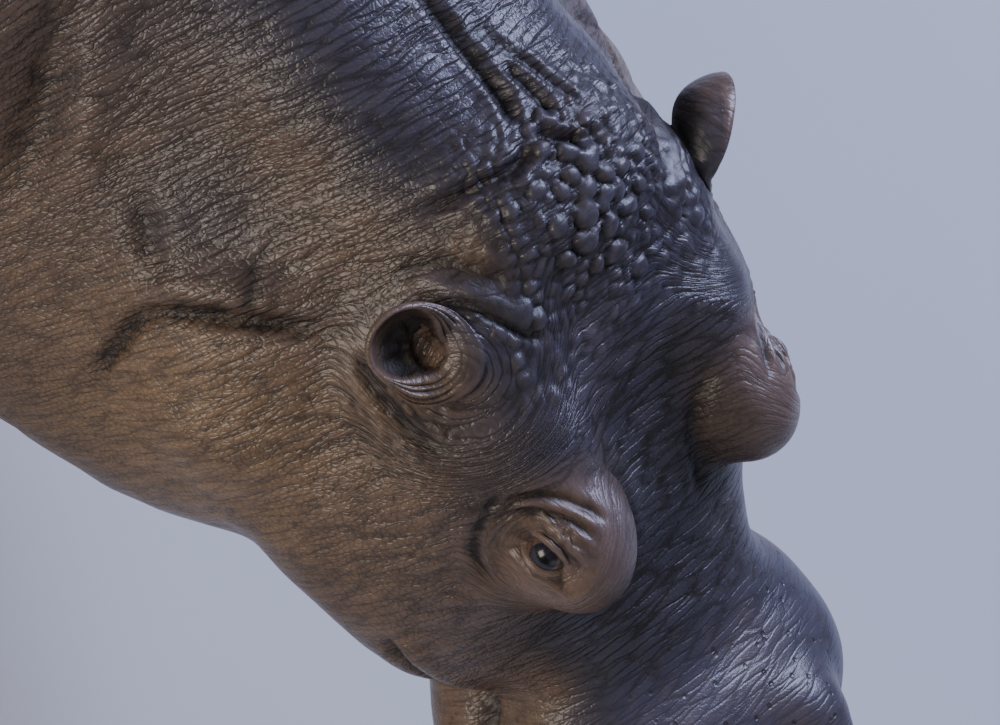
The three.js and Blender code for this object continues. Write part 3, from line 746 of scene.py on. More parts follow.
def waves(points, length, seed):
    """Soft noise between -1 and 1."""
    shift = Vector((seed, 2 * seed, 0))
    return np.array([noise.noise(Vector(p) / length + shift) for p in points])


def step(value, low, high):
    t = np.clip((value - low) / (high - low), 0, 1)
    return t * t * (3 - 2 * t)


# %% Warts of the crown
# (x, f, u, radius) in millimetres
WARTS = [
    (5, -54, 69, 12), (-21, -82, 75, 15), (3, -79, 74, 9), (10, -129, 71, 12), (23, -107, 75, 11),
    (-9, -105, 75, 12), (-4, -149, 64, 12), (29, -82, 74, 11), (-37, -121, 72, 10), (-17, -127, 71, 10),
    (13, -88, 75, 9), (40, -55, 68, 12), (-32, -55, 70, 13), (10, -17, 54, 13), (-29, -166, 55, 10),
    (24, -146, 66, 12), (48, -100, 72, 10), (48, -140, 62, 11), (6, -186, 40, 12), (-22, -184, 42, 9),
    (-61, -135, 64, 10), (-60, -90, 69, 11), (66, -67, 66, 10), (-20, -18, 55, 10), (42, 20, 40, 11),
    (70, -30, 56, 9), (-60, -48, 62, 10), (82, -99, 65, 9), (-97, -131, 54, 9), (-110, -9, 42, 10),
    (103, -68, 54, 9),
]
WART_SWELL = 1.30
WART_RISE, DITCH_SINK = 0.30, 0.16  # as parts of the radius
WART_OVAL, WART_WOBBLE, WOBBLE_LENGTH = 0.34, 0.24, 0.014


def add_warts(points):
    """Height, painted shade in the ditches, and smoothness of the warts: flat domes, each in a narrow ditch.
    """
    rise, ditch, shade_in_hollows, smooth = (np.zeros(len(points)) for _ in range(4))
    for x, f, u, millimetres in WARTS:
        radius = millimetres * WART_SWELL / 1000
        middle = settled(from_head(np.array([[x, f, u]]) / 1000), whole_body)
        off = points - middle
        away = np.linalg.norm(off, axis=1) / radius
        near = away < 2.2
        lean = unit(np.array([math.sin(x * 1.7 + f), math.cos(x * 1.7 + f), 0.3]))
        away = away + WART_OVAL * np.abs(off @ lean) / radius * (away > 0.2)
        away[near] += WART_WOBBLE * waves(points[near], WOBBLE_LENGTH, x + f)
        dome = np.clip(1 - np.maximum(away[near], 0) ** 3.2, 0, 1) ** 0.7
        moat = ridge(away[near], 1.12, 0.22)
        rise[near] = np.maximum(rise[near], radius * WART_RISE * dome)
        ditch[near] = np.maximum(ditch[near], radius * DITCH_SINK * moat)
        shade_in_hollows[near] = np.maximum(shade_in_hollows[near], moat)
        smooth[near] = np.maximum(smooth[near], step(dome, 0.0, 0.5))
    return rise - ditch * (1 - smooth), shade_in_hollows * (1 - smooth), smooth


print(len(WARTS), "warts")


# %% [markdown]
# ## Lids, nostrils and mouth
# The lids open round the eyeball as a long slit. It is easiest to think in the eye's own axes:
# out of the eye, along the slit and across it. Inside the slit the hide drops behind the eyeball,
# at its edge it makes a thick lid, and soft rings of skin lie round that.

# %% The eye's own axes
EYE_OUT = unit([0.836, -0.197, 0.512])
EYE_ALONG = unit(np.array([-0.145, 0.825, 0.546]) - EYE_OUT * np.dot([-0.145, 0.825, 0.546], EYE_OUT))
EYE_ABOVE = np.cross(EYE_OUT, EYE_ALONG)
EYE_AXES = np.array([EYE_OUT, EYE_ALONG, EYE_ABOVE])
EYE_RADIUS = 0.024
SLIT_HALF, SLIT_ABOVE, SLIT_BELOW = 1.34, 0.50, 0.44  # angles on the eyeball
SLIT_SHIFT = 0.09  # the slit reaches further back than forward
LID_THICK = 0.0048
# folds and rolls round the slit: (metres from it, width, share below the eye, share above, rise, painted
# shade in it)
LID_RINGS = [(0.0090, 0.0016, 0.75, 1.0, -0.0034, 0.8), (0.0125, 0.0026, 1, 1, 0.0022, 0),
             (0.0165, 0.0018, 0.35, 0.9, -0.0026, 0.5), (0.0200, 0.0028, 1, 1, 0.0014, 0),
             (0.0235, 0.0015, 0.1, 0.55, -0.0012, 0.3)]


def to_eye(points):
    """Radius, angle along the slit and angle above it, round the nearer eye."""
    head = to_head(points)
    local = (np.stack([np.abs(head[:, 0]), head[:, 1], head[:, 2]], 1) - EYE_SPOT) @ EYE_AXES.T
    radius = np.linalg.norm(local, axis=1)
    along = np.arctan2(local[:, 1], local[:, 0])
    above = np.arcsin(np.clip(local[:, 2] / np.maximum(radius, 1e-6), -1, 1))
    return radius, along, above


def open_lids(points):
    """The points with the lids opened, and the painted shade of each point in the slit and in the folds round
    it.
    """
    radius, along, above = to_eye(points)
    near = (radius < 0.062) & (np.abs(along) < 2.2)
    here = points[near]
    radius, along, above = radius[near], along[near] + SLIT_SHIFT, above[near]
    taper = np.clip(1 - (along / SLIT_HALF) ** 2, -1, 1)
    upper, lower = SLIT_ABOVE * np.sign(taper) * np.abs(taper) ** 0.75, -SLIT_BELOW * taper
    edge = np.where(above > 0, above - upper, lower - above)
    beyond = np.maximum(np.abs(along) - SLIT_HALF, 0)
    edge = np.where(beyond > 0, np.hypot(beyond, above), edge)  # angle from the slit's edge
    off = edge * EYE_RADIUS
    slit = 1 - step(off, -0.0004, 0.0012)
    lid_top = EYE_RADIUS + LID_THICK * step(off, 0.0002, 0.005) + 0.0008
    flat = 1 - step(off, 0.006, 0.014)
    target = mix(radius, lid_top, flat)
    upper_lid = step(above, -0.25, 0.25)
    off = off + 0.0009 * np.sin(along * 9.0) * step(off, 0.004, 0.012)
    # The slit and the folds round it are darkened with painted shade.
    shade_strength = slit.copy()
    for place, width, share_below, share_above, rise, dark in LID_RINGS:
        ring = ridge(off, place, width) * mix(share_below, share_above, upper_lid)
        target += rise * ring
        shade_strength += dark * ring
    target = mix(target, EYE_RADIUS - 0.004, slit)
    middle = from_head(EYE_SPOT * np.stack([np.sign(here[:, 0]), np.ones(len(here)), np.ones(len(here))], 1))
    ray = here - middle
    ray /= np.linalg.norm(ray, axis=1)[:, None]
    fade = 1 - step(radius, 0.042, 0.060)
    points[near] = here + ray * ((target - radius) * fade)[:, None]
    shade_in_hollows = np.zeros(len(points))
    shade_in_hollows[near] = np.clip(shade_strength, 0, 1) * fade
    return points, shade_in_hollows


# %% Mouth line and nostrils
MOUTH = np.array([(800, -214), (700, -212), (620, -232), (540, -246), (450, -226), (360, -206),
                  (290, -192)]) / 1000
MOUTH_WIDTH, MOUTH_DEPTH = 0.007, 0.014
LIP_RISE, CHIN_RISE = 0.007, 0.003
NOSTRIL = [(58, 672, -30), (74, 690, -38), (98, 698, -48), (120, 684, -46), (128, 662, -38)]
NOSTRIL_WIDTH, NOSTRIL_DEPTH = 9, 22


def mouth_line(points):
    _, f, u = to_head(points).T
    off = u - np.interp(f, MOUTH[::-1, 0], MOUTH[::-1, 1])
    fade = step(f, 0.275, 0.33) * (whole_body(points) < 0.02)
    groove = ridge(off, 0, MOUTH_WIDTH) * fade
    lip, chin = ridge(off, 0.020, 0.014) * fade, ridge(off, -0.022, 0.014) * fade
    return LIP_RISE * lip + CHIN_RISE * chin - MOUTH_DEPTH * groove, groove


# %% [markdown]
# ## Folds of the body, legs and toes
# Behind the elbow, on the flank and on the rump the hide lies in broad folds, and rings run round
# the legs and the throat. A cloth simulation could fold it, but this hide is too thick to hang
# like cloth, so each fold is a wide, shallow crease that fades slowly at both ends. The toes are
# parted by clefts, and each nail sits in a groove. Last, all the heights are pressed in at once.

# %% Folds and rings
# (width, depth, roll, points) in metres from the ears' line and the floor, on both sides
BODY_FOLDS = {
    "elbow": (0.026, 0.015, 0.006, [(0.44, 0.93, 0.88), (0.44, 0.96, 0.72), (0.42, 0.94, 0.58),
                                    (0.36, 0.88, 0.44)]),
    "behind the shoulder": (0.032, 0.009, 0.004, [(0.44, 0.98, 1.30), (0.52, 1.04, 1.10), (0.53, 1.07, 0.92),
                                                  (0.50, 1.05, 0.74)]),
    "rib roll": (0.036, 0.006, 0.004, [(0.46, 1.18, 1.28), (0.55, 1.22, 1.06), (0.55, 1.25, 0.84),
                                       (0.48, 1.24, 0.62)]),
    "flank": (0.032, 0.015, 0.006, [(0.53, 1.80, 1.08), (0.52, 1.84, 0.88), (0.48, 1.90, 0.70),
                                    (0.41, 1.99, 0.52)]),
    "stifle": (0.020, 0.007, 0.004, [(0.46, 1.98, 0.74), (0.46, 2.10, 0.64), (0.43, 2.24, 0.58)]),
    "rump": (0.028, 0.011, 0.005, [(0.08, 2.53, 1.24), (0.13, 2.57, 1.06), (0.16, 2.55, 0.90),
                                   (0.19, 2.47, 0.72)]),
    "front of the elbow": (0.020, 0.007, 0.004, [(0.45, 0.68, 0.64), (0.33, 0.64, 0.56), (0.22, 0.68, 0.58)]),
}
# (along which axis, place, width, depth, from y, to y, from z, to z): rings round the legs and the throat
RINGS = [
    (2, 0.315, 0.010, 0.006, 0.5, 1.1, 0.25, 0.40), (2, 0.262, 0.008, 0.004, 0.5, 1.1, 0.20, 0.32),
    (2, 0.132, 0.009, 0.005, 0.5, 1.1, 0.10, 0.17), (2, 0.372, 0.010, 0.005, 1.8, 2.5, 0.31, 0.44),
    (2, 0.300, 0.009, 0.004, 1.8, 2.5, 0.25, 0.35), (2, 0.135, 0.009, 0.005, 1.8, 2.5, 0.10, 0.17),
    (1, 0.335, 0.014, 0.010, 0.2, 0.6, 0.45, 0.78), (1, 0.425, 0.013, 0.008, 0.2, 0.6, 0.40, 0.74),
]


def ring_folds(points):
    height, shade_in_hollows = np.zeros(len(points)), np.zeros(len(points))
    body = points - (0, EAR_MIDDLE[1], 0)
    for axis, place, width, depth, y_from, y_to, z_from, z_to in RINGS:
        inside = (body[:, 1] > y_from) & (body[:, 1] < y_to) & (body[:, 2] > z_from) & (body[:, 2] < z_to)
        if not inside.any():
            continue
        here = body[inside]
        sideways = here[:, 1 if axis == 2 else 0]
        wander = 0.012 * np.sin(here[:, 0] * 17 + place * 40) + 0.008 * np.sin(sideways * 23)
        off = here[:, axis] - place - wander
        fade = step(z_to - here[:, 2], 0, 0.1) if axis == 1 else 1.0
        groove = ridge(off, 0, width) * fade
        bulge = ridge(np.abs(off), 2 * width, 1.1 * width) * fade
        height[inside] += depth * (0.5 * bulge - groove)
        # The groove is darkened with painted shade.
        shade_in_hollows[inside] = np.maximum(shade_in_hollows[inside], groove * 0.7)
    return height, shade_in_hollows


# %% Toes and the beds of the nails
CLEFT_WIDTH, CLEFT_DEPTH = 0.007, 0.010
CUFF_RISE, DITCH_DEPTH = 0.0022, 0.0030  # round a nail
NAIL_REACH, NAIL_HEIGHT, NAIL_RADII = 0.112, 0.023, (0.0240, 0.0150, 0.0264)
FEET = [(name, side, (side * place[0], place[1] + EAR_MIDDLE[1]))
        for name, place in (("fore", FORE), ("hind", HIND)) for side in (1, -1)]


def toe_axes(side, angle):
    """Across the nail and out of it, level with the floor."""
    outward = np.array([side * math.sin(angle), -math.cos(angle), 0])
    return np.array([-outward[1], outward[0], 0]), outward


def toes(points):
    """Clefts between the toes and a groove round each nail, both darkened with painted shade as well."""
    height, shade_in_hollows = np.zeros(len(points)), np.zeros(len(points))
    for _, side, place in FEET:
        from_foot = points - (place[0], place[1], 0)
        reach = np.hypot(from_foot[:, 0], from_foot[:, 1])
        low = (reach < 0.17) & (points[:, 2] < 0.13)
        turn = np.arctan2(side * from_foot[:, 0], -from_foot[:, 1])
        for left, right in zip(TOE_ANGLES, TOE_ANGLES[1:]):
            off = np.abs(turn - (left + right) / 2) * reach
            cleft = ridge(off, 0, CLEFT_WIDTH) * step(reach, 0.05, 0.08)
            cleft *= 1 - step(points[:, 2], 0.055, 0.105)
            height[low] -= CLEFT_DEPTH * cleft[low]
            shade_in_hollows[low] = np.maximum(shade_in_hollows[low], cleft[low])
        for angle in TOE_ANGLES:
            across, outward = toe_axes(side, angle)
            centre = np.array([*(np.array(place) + outward[:2] * NAIL_REACH), NAIL_HEIGHT])
            local = (points - centre) @ np.array([across, outward, (0, 0, 1)]).T
            size = np.linalg.norm(local / NAIL_RADII, axis=1)
            ditch = ridge(size, 1.12, 0.16) * low
            cuff = ridge(size, 1.5, 0.2) * low * step(points[:, 2], 0.02, 0.04)
            height += CUFF_RISE * cuff - DITCH_DEPTH * ditch
            shade_in_hollows = np.maximum(shade_in_hollows, 0.8 * ditch)
    return height, shade_in_hollows


# %% Laying lines and pressing
def press(bm, height):
    bm.normal_update()
    for v, h in zip(bm.verts, height):
        if h:
            v.co += v.normal * h


def laid(line):
    return settled(from_head(smooth_line(line) / 1000), whole_body)


def laid_on_body(line):
    return settled(smooth_line(line) + (0, EAR_MIDDLE[1], 0), whole_body)


# %% Add up the creases and the folds
points = coordinates(bm)
height, shade_in_hollows = np.zeros(len(points)), np.zeros(len(points))
on_ear = (from_spot(points, EAR_ROOT) < 0.14) & (whole_body(points) > 0.0015)
# Each crease, nostril and body fold below is pressed in and also darkened with painted shade in the hide's
# colour: full in narrow creases, fainter in wide creases and body folds.
for sides, width, depth, roll, line in CREASES.values():
    ends, shade_strength = (0.2, 1.0) if width < WIDE_CREASE else (0.45, 0.45)
    for shape in [line] if sides == "one" else [line, [(-x, f, u) for x, f, u in line]]:
        more, in_it = crease(points, laid(shape), width / 1000, depth / 1000, roll / 1000, ends)
        height += more
        if depth > 0:
            shade_in_hollows = np.maximum(shade_in_hollows, in_it * shade_strength)
for side in (1, -1):
    line = laid([(side * x, f, u) for x, f, u in NOSTRIL])
    more, in_it = crease(points, line, NOSTRIL_WIDTH / 1000, NOSTRIL_DEPTH / 1000, 0.004)
    height += more
    shade_in_hollows = np.maximum(shade_in_hollows, in_it)
for width, depth, roll, line in BODY_FOLDS.values():
    for side in (1, -1):
        on_side = laid_on_body([(side * x, y, z) for x, y, z in line])
        more, in_it = crease(points, on_side, width, depth, roll, ends=0.5)
        height += more
        shade_in_hollows = np.maximum(shade_in_hollows, 0.45 * in_it)
wart_height, wart_ditch_shade, wart_smooth = add_warts(points)
# The warts' ditches, the mouth line, the rings and the toe clefts add their painted shade too.
for more, in_it in ((wart_height, wart_ditch_shade), mouth_line(points), ring_folds(points), toes(points)):
    height += more
    shade_in_hollows = np.maximum(shade_in_hollows, in_it)
print("creases and folds down to", round(float(height.min()) * 1000, 1), "mm")


# %% Cobbled skin and swellings, and press it all in
def between(value, low, full, fading, gone):
    """0 below low, 1 from full to fading, 0 again above gone."""
    return step(value, low, full) * (1 - step(value, fading, gone))


CHEEK_SPOT = np.array([0.245, 0.03, -0.07])
COBBLE_SIZE, COBBLE_RISE, COBBLE_STRAY = 0.019, 0.0056, 0.004
SMALL_SWELL, BROAD_SWELL = 0.0022, 0.006
x, f, u = to_head(points).T
crown = step(u, -0.05, 0.03) * (1 - step(np.abs(x), 0.15, 0.19)) * between(f, -0.26, -0.16, 0.05, 0.12)
cheek = 1 - step(from_spot(points, CHEEK_SPOT), 0.04, 0.09)
groove_bed = (1 - step(np.abs(x - 0.006), 0.014, 0.026)) * between(f, -0.50, -0.36, -0.26, -0.20)
groove_bed *= step(u, -0.2, -0.1)
rough_skin = np.maximum.reduce([crown, 0.6 * cheek, 0.6 * groove_bed])
chosen = np.flatnonzero(rough_skin > 0.02)
cushions = np.zeros(len(points))
stray = np.stack([waves(points[chosen], 0.020, seed) for seed in (11, 12, 13)], 1)
cushions[chosen] = cobble(points[chosen] + COBBLE_STRAY * stray, COBBLE_SIZE, 3) - 0.5
height += COBBLE_RISE * cushions * rough_skin * (1 - wart_smooth)
# The cracks between the cobbles get painted shade.
shade_in_hollows = np.maximum(shade_in_hollows, rough_skin * np.clip(-cushions * 1.6, 0, 0.7))
seen = np.flatnonzero(points[:, 1] - EAR_MIDDLE[1] < 0.9)
height[seen] += SMALL_SWELL * waves(points[seen], 0.055, 5)
height += BROAD_SWELL * waves(points, 0.23, 9)
height[on_ear] = 0
shade_in_hollows[on_ear] = 0
press(bm, height)
points = coordinates(bm)
points, in_lid = open_lids(points)
shade_in_hollows = np.maximum(shade_in_hollows, in_lid)
points[:, 2] = np.maximum(points[:, 2], 0.0002)
put_back(bm, points)
print("pressed", int((np.abs(height) > 1e-4).sum()), "points")

# %% [markdown]
# ## Where the hide is dark, pale or finely ringed
# The back and crown are slate, partly their own colour and partly a painted bluish sheen where
# the hide faces up. The flanks are brown and the jowls tan, and pink shows where the skin is thin:
# round the eyes, on the rims of the ears and under the belly. Creases, ditches, the ears' cups and
# other hollows get painted shade, the forehead's hollow partly its own darker colour and partly
# painted shade, and ridges a little painted highlight. The fine wrinkles run in rings round the
# neck, the legs and the eyes. They could be painted on a picture of the hide, but a value kept on
# every point needs no picture and no seams.

# %% Distance along the wrinkles
def lengthwise(points):
    """Distance along the body, bent round eyes, ears and legs, so that wrinkles cross it."""
    body = points - (0, EAR_MIDDLE[1], 0)
    made = body[:, 1] + 0.35 * (body[:, 2] - 1.2) * (1 - step(body[:, 1], 0.3, 0.7))
    leg_line = np.where(body[:, 1] < 1.5, FORE[1], HIND[1])
    made = mix(made, leg_line + 0.52 - body[:, 2], 1 - step(body[:, 2], 0.36, 0.66))
    radius, along, above = to_eye(points)
    off_slit = np.maximum(np.abs(radius * np.sin(above)), radius - EYE_RADIUS)
    eye = np.hypot(radius * np.sin(along) * 0.55, off_slit)
    made = mix(made, eye - EYE_SPOT[1], 1 - step(radius, 0.045, 0.10))
    ear = from_spot(points, EAR_ROOT)
    return mix(made, ear, 1 - step(ear, 0.06, 0.15))


# %% Hollows, and tones of the ears
def hollows(bm, points, normals):
    """How far each point sits in a hollow, from the slopes of the edges that meet there."""
    ends = np.array([[v.index for v in e.verts] for e in bm.edges])
    run = points[ends[:, 1]] - points[ends[:, 0]]
    run /= np.maximum(np.linalg.norm(run, axis=1), 1e-7)[:, None]
    total, count = np.zeros(len(points)), np.zeros(len(points))
    for k, way in ((0, 1), (1, -1)):
        np.add.at(total, ends[:, k], way * (run * normals[ends[:, k]]).sum(1))
        np.add.at(count, ends[:, k], 1)
    made = total / np.maximum(count, 1)
    for _ in range(2):
        around = np.zeros(len(points))
        for k in (0, 1):
            np.add.at(around, ends[:, k], made[ends[:, 1 - k]])
        made = 0.5 * made + 0.5 * around / np.maximum(count, 1)
    return made


def ear_tones(points):
    """How deep in an ear's cup each point is, how near its rim, and whether it is on an ear."""
    pit, rim, ears = np.zeros(len(points)), np.zeros(len(points)), np.zeros(len(points))
    for side in (1, -1):
        local = to_ear(points, side)
        a, w = (local[:, 0] - CUP_MIDDLE) / 0.061, local[:, 1] / CUP_HALF
        out = np.hypot(a, w)
        mine = (points[:, 0] * side > 0) & (whole_body(points) > 0.001) & (from_spot(points, EAR_ROOT) < 0.14)
        pit = np.maximum(pit, mine * (1 - step(out, 0.55, 0.9)) * step(-local[:, 2], 0.002, 0.012))
        edge = ridge(out, 1.0, 0.09) * step(local[:, 2], -0.010, -0.002) * step(a, -0.5, 0.3)
        rim = np.maximum(rim, mine * edge)
        ears = np.maximum(ears, mine)
    return pit, rim, ears


# %% Values kept on the hide
TURRET_SPOT = np.array([0.155, 0.235, 0.01])
JOWL_SPOT = np.array([0.350, -0.010, -0.260])
bm.normal_update()
bm.verts.index_update()
normals = np.array([v.normal for v in bm.verts])
broad = slope_of(points, whole_body, whole_body(points))
broad /= np.maximum(np.linalg.norm(broad, axis=1), 1e-6)[:, None]
pit, rim, ears = ear_tones(points)
sunk = hollows(bm, points, normals)
eye_distance = from_spot(points, EYE_SPOT)
from_turret = from_spot(points, TURRET_SPOT) + 0.012 * waves(points, 0.045, 21)
dome = 1 - step(from_turret, 0.050, 0.125)
muzzle = step(to_head(points)[:, 1], 0.38, 0.55)
jowl = 1 - step(from_spot(points, JOWL_SPOT), 0.06, 0.24)
# The forehead's hollow is darker: partly its own darker colour, partly painted shade.
forehead = (1 - step(np.abs(x), 0.08, 0.15)) * between(f, 0.06, 0.16, 0.40, 0.55) * (u > -0.2)
brow_facing = broad @ BROWWARD * step(to_head(points)[:, 1], -0.35, -0.10)
# The slate on faces that look up is partly the hide's own grey back and partly a painted bluish sheen of the
# sky light.
slate = step(np.maximum(broad[:, 2], brow_facing), 0.25, 1.0) * (1 - 0.55 * dome) * (1 - 0.5 * rim)
blush = np.maximum.reduce([0.60 * (1 - step(eye_distance, 0.022, 0.065)), 0.8 * rim,
                           0.5 * step(-broad[:, 2], 0.2, 0.9), 0.45 * dome])
# in_hollow becomes painted shade in hollows, and on_ridge a painted highlight on ridges.
in_hollow, on_ridge = np.clip(sunk * 3.2 - 0.08, 0, 0.9), np.clip(-sunk * 3.5 - 0.15, 0, 1)
# Painted shade: creases, ditches, lid folds, the ears' cups and every hollow are darkened in the hide's
# colour; on the forehead it is partly its own darker colour.
dark = np.maximum.reduce([0.75 * shade_in_hollows, 0.95 * pit, 0.40 * forehead, in_hollow])
wrinkled = (1 - 0.45 * dome) * (1 - 0.6 * muzzle) * (1 - 0.40 * ears)
wrinkled *= (1 - 0.75 * wart_smooth) * (1 - 0.35 * crown)
TONES = {"shade_in_hollows": dark, "crest": on_ridge, "slate": slate, "blush": blush, "ring": lengthwise(points),
         "muzzle": muzzle, "jowl": jowl, "fine": wrinkled}
print({name: (round(float(v.min()), 3), round(float(v.max()), 3)) for name, v in TONES.items()})

# %% The finished hide
bm.to_mesh(melted)
bm.free()
for polygon in melted.polygons:
    polygon.use_smooth = True
for name, value in TONES.items():
    melted.attributes.new(name, "FLOAT", "POINT").data.foreach_set("value", value.astype(np.float32))
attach(hide, "root")
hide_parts(*FLESH_NODES, "ear_left", "ear_right")
print("hide", len(melted.vertices), "points")

# %% [markdown]
# ## Eyeballs and nails
# An eyeball is a sphere with a slightly steeper cornea, set behind the lids. A nail is a small
# blunt hoof, let into the front of each toe: a squashed sphere, cut level with the floor, ribbed
# a little and drawn in towards its top. Both could be turned from a profile, but a sphere whose
# points are moved is shorter to write and has no seam.

# %% Two pieces of mesh
def finished(name, piece, node):
    mesh = bpy.data.meshes.new(name)
    piece.to_mesh(mesh)
    piece.free()
    for polygon in mesh.polygons:
        polygon.use_smooth = True
    made = bpy.data.objects.new(name, mesh)
    bpy.context.scene.collection.objects.link(made)
    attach(made, "root")
    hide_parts(node)
    return made


def to_place(axes, centre):
    """The matrix that stands a piece's own x, y and z on three axes of the world."""
    turned = Matrix([list(row) for row in np.asarray(axes).T]).to_4x4()
    return Matrix.Translation(Vector(centre)) @ turned


# %% Eyeballs
CORNEA_RISE, CORNEA_WIDTH = 0.0012, 0.5
eyes = []
for side, word in ((1, "left"), (-1, "right")):
    piece = bmesh.new()
    bmesh.ops.create_uvsphere(piece, u_segments=48, v_segments=32, radius=EYE_RADIUS)
    own = coordinates(piece)
    bulge = ridge(np.hypot(own[:, 0], own[:, 1]) / EYE_RADIUS, 0, CORNEA_WIDTH) * (own[:, 2] > 0)
    put_back(piece, own * (1 + CORNEA_RISE / EYE_RADIUS * bulge)[:, None])
    axes = np.array([EYE_ALONG, EYE_ABOVE, EYE_OUT]) * (side, 1, 1) @ HEAD_AXES
    centre = from_head((EYE_SPOT * (side, 1, 1))[None])[0]
    bmesh.ops.transform(piece, matrix=to_place(axes, centre), verts=piece.verts)
    bmesh.ops.recalc_face_normals(piece, faces=piece.faces)
    eye = finished(f"eyeball_{word}", piece, f"eye_{word}")
    for name, column in (("eye_along", 0), ("eye_above", 1), ("eye_out", 2)):
        values = (own[:, column] / EYE_RADIUS).astype(np.float32)
        eye.data.attributes.new(name, "FLOAT", "POINT").data.foreach_set("value", values)
    eyes.append(eye)
print("eyeballs", [len(eye.data.vertices) for eye in eyes])

# %% Nails
NAIL_BLUNT, NAIL_TAPER, RIB_RISE, RIB_TURNS = 0.85, 0.10, 0.012, 26
nails = []
for name, side, place in FEET:
    for k, angle in enumerate(TOE_ANGLES):
        across, outward = toe_axes(side, angle)
        piece = bmesh.new()
        bmesh.ops.create_uvsphere(piece, u_segments=32, v_segments=20, radius=1)
        own = coordinates(piece)
        own[:, 2] = np.sign(own[:, 2]) * np.abs(own[:, 2]) ** NAIL_BLUNT
        ribs = 1 + RIB_RISE * np.sin(own[:, 0] * RIB_TURNS)
        own[:, 1] *= ribs * (1 - NAIL_TAPER * np.clip(own[:, 2], 0, 1))
        put_back(piece, own * NAIL_RADII)
        centre = (place[0] + outward[0] * NAIL_REACH, place[1] + outward[1] * NAIL_REACH, NAIL_HEIGHT)
        bmesh.ops.transform(piece, matrix=to_place([across, outward, (0, 0, 1)], centre), verts=piece.verts)
        cut = bmesh.ops.bisect_plane(piece, geom=piece.verts[:] + piece.edges[:] + piece.faces[:],
                                     plane_co=(0, 0, 0.0004), plane_no=(0, 0, -1), clear_outer=True)
        rim_edges = [g for g in cut["geom_cut"] if isinstance(g, bmesh.types.BMEdge)]
        bmesh.ops.edgeloop_fill(piece, edges=rim_edges)
        bmesh.ops.recalc_face_normals(piece, faces=piece.faces)
        word = "left" if side > 0 else "right"
        nails.append(finished(f"hoof_{name}_{word}_{k + 1}", piece, f"nail_{name}_{word}_{k + 1}"))
print("nails", len(nails), "of", len(nails[0].data.vertices), "points")

# %% [markdown]
# ## Finishes
# Wet hide is dark and shines. The fine wrinkles are cells, long across the body and short along
# it, with cracks between them, so each cell catches its own spark of light. They are bump, because
# wrinkles of a few millimetres over the whole animal would need millions of faces. Sums on sockets
# are written as plain sums.

# %% Sums on sockets
class Shade:
    """A socket that can be used in sums."""

    def __init__(self, finish, socket):
        self.finish, self.socket = finish, socket

    def beside(self, name):
        """Another output of the node that this socket is on."""
        return Shade(self.finish, self.socket.node.outputs[name])

    def sum(self, operation, *values):
        return self.finish.node("ShaderNodeMath", {"operation": operation}, dict(enumerate(values)))

    def __add__(self, other):
        return self.sum("ADD", self, other)

    def __sub__(self, other):
        return self.sum("SUBTRACT", self, other)

    def __rsub__(self, other):
        return self.sum("SUBTRACT", other, self)

    def __mul__(self, other):
        return self.sum("MULTIPLY", self, other)

    def __truediv__(self, other):
        return self.sum("DIVIDE", self, other)

    def __pow__(self, other):
        return self.sum("POWER", self, other)

    __radd__, __rmul__ = __add__, __mul__

    def smooth(self, low, high):
        return self.finish.node("ShaderNodeMapRange", {"interpolation_type": "SMOOTHSTEP"},
                                {"Value": self, "From Min": low, "From Max": high})

    def least(self, other):
        return self.sum("MINIMUM", self, other)


# %% Finishes made of nodes
class Finish:
    """One material and the nodes it is made of."""

    def __init__(self, name, **sockets):
        self.material = bpy.data.materials.new(name)
        self.material.use_nodes = True
        self.tree = self.material.node_tree
        self.shader = self.tree.nodes["Principled BSDF"]
        self.set(**sockets)

    def feed(self, socket, value):
        if isinstance(value, Shade):
            self.tree.links.new(value.socket, socket)
        else:
            socket.default_value = value

    def set(self, **sockets):
        for name, value in sockets.items():
            self.feed(self.shader.inputs[name.replace("_", " ")], value)

    def node(self, kind, settings=None, sockets=None, output=0):
        made = self.tree.nodes.new(kind)
        for name, value in (settings or {}).items():
            setattr(made, name, value)
        for name, value in (sockets or {}).items():
            self.feed(made.inputs[name], value)
        return Shade(self, made.outputs[output])

    def value(self, name):
        return self.node("ShaderNodeAttribute", {"attribute_name": name}, output="Fac")

    def place(self):
        return self.node("ShaderNodeTexCoord", output="Object")

    def noise(self, vector, scale, detail=3.0, output="Fac"):
        return self.node("ShaderNodeTexNoise", {},
                         {"Vector": vector, "Scale": scale, "Detail": detail}, output)

    def cracks(self, vector, randomness=1.0):
        return self.node("ShaderNodeTexVoronoi", {"feature": "DISTANCE_TO_EDGE"},
                         {"Vector": vector, "Scale": 1.0, "Randomness": randomness}, "Distance")

    def blend(self, a, b, factor, kind="MIX"):
        return self.node("ShaderNodeMix", {"data_type": "RGBA", "blend_type": kind},
                         {0: factor, 6: a, 7: b}, 2)

    def bump(self, height):
        self.set(Normal=self.node("ShaderNodeBump", {},
                                  {"Strength": 1.0, "Distance": 1.0, "Height": height}))


# %% Wrinkles of the hide
skin = Finish("wet_hippo_hide", IOR=1.5, Coat_Weight=0.0)
place = skin.place()
warp = skin.noise(place, 8.0, 2.0, "Color")
moved = skin.node("ShaderNodeVectorMath", {"operation": "MULTIPLY_ADD"},
                  {0: warp, 1: (0.012, 0.012, 0.012), 2: place})
across_x = skin.node("ShaderNodeSeparateXYZ", {}, {"Vector": moved}, "X")
across_z = across_x.beside("Z")
lines = skin.value("ring") + skin.noise(place, 20.0, 4.0) * 0.012


def wrinkle_cells(along_length, across_length, randomness):
    vector = skin.node("ShaderNodeCombineXYZ", {}, {"X": across_x / across_length, "Y": lines / along_length,
                                                    "Z": across_z / across_length})
    return skin.cracks(vector, randomness)


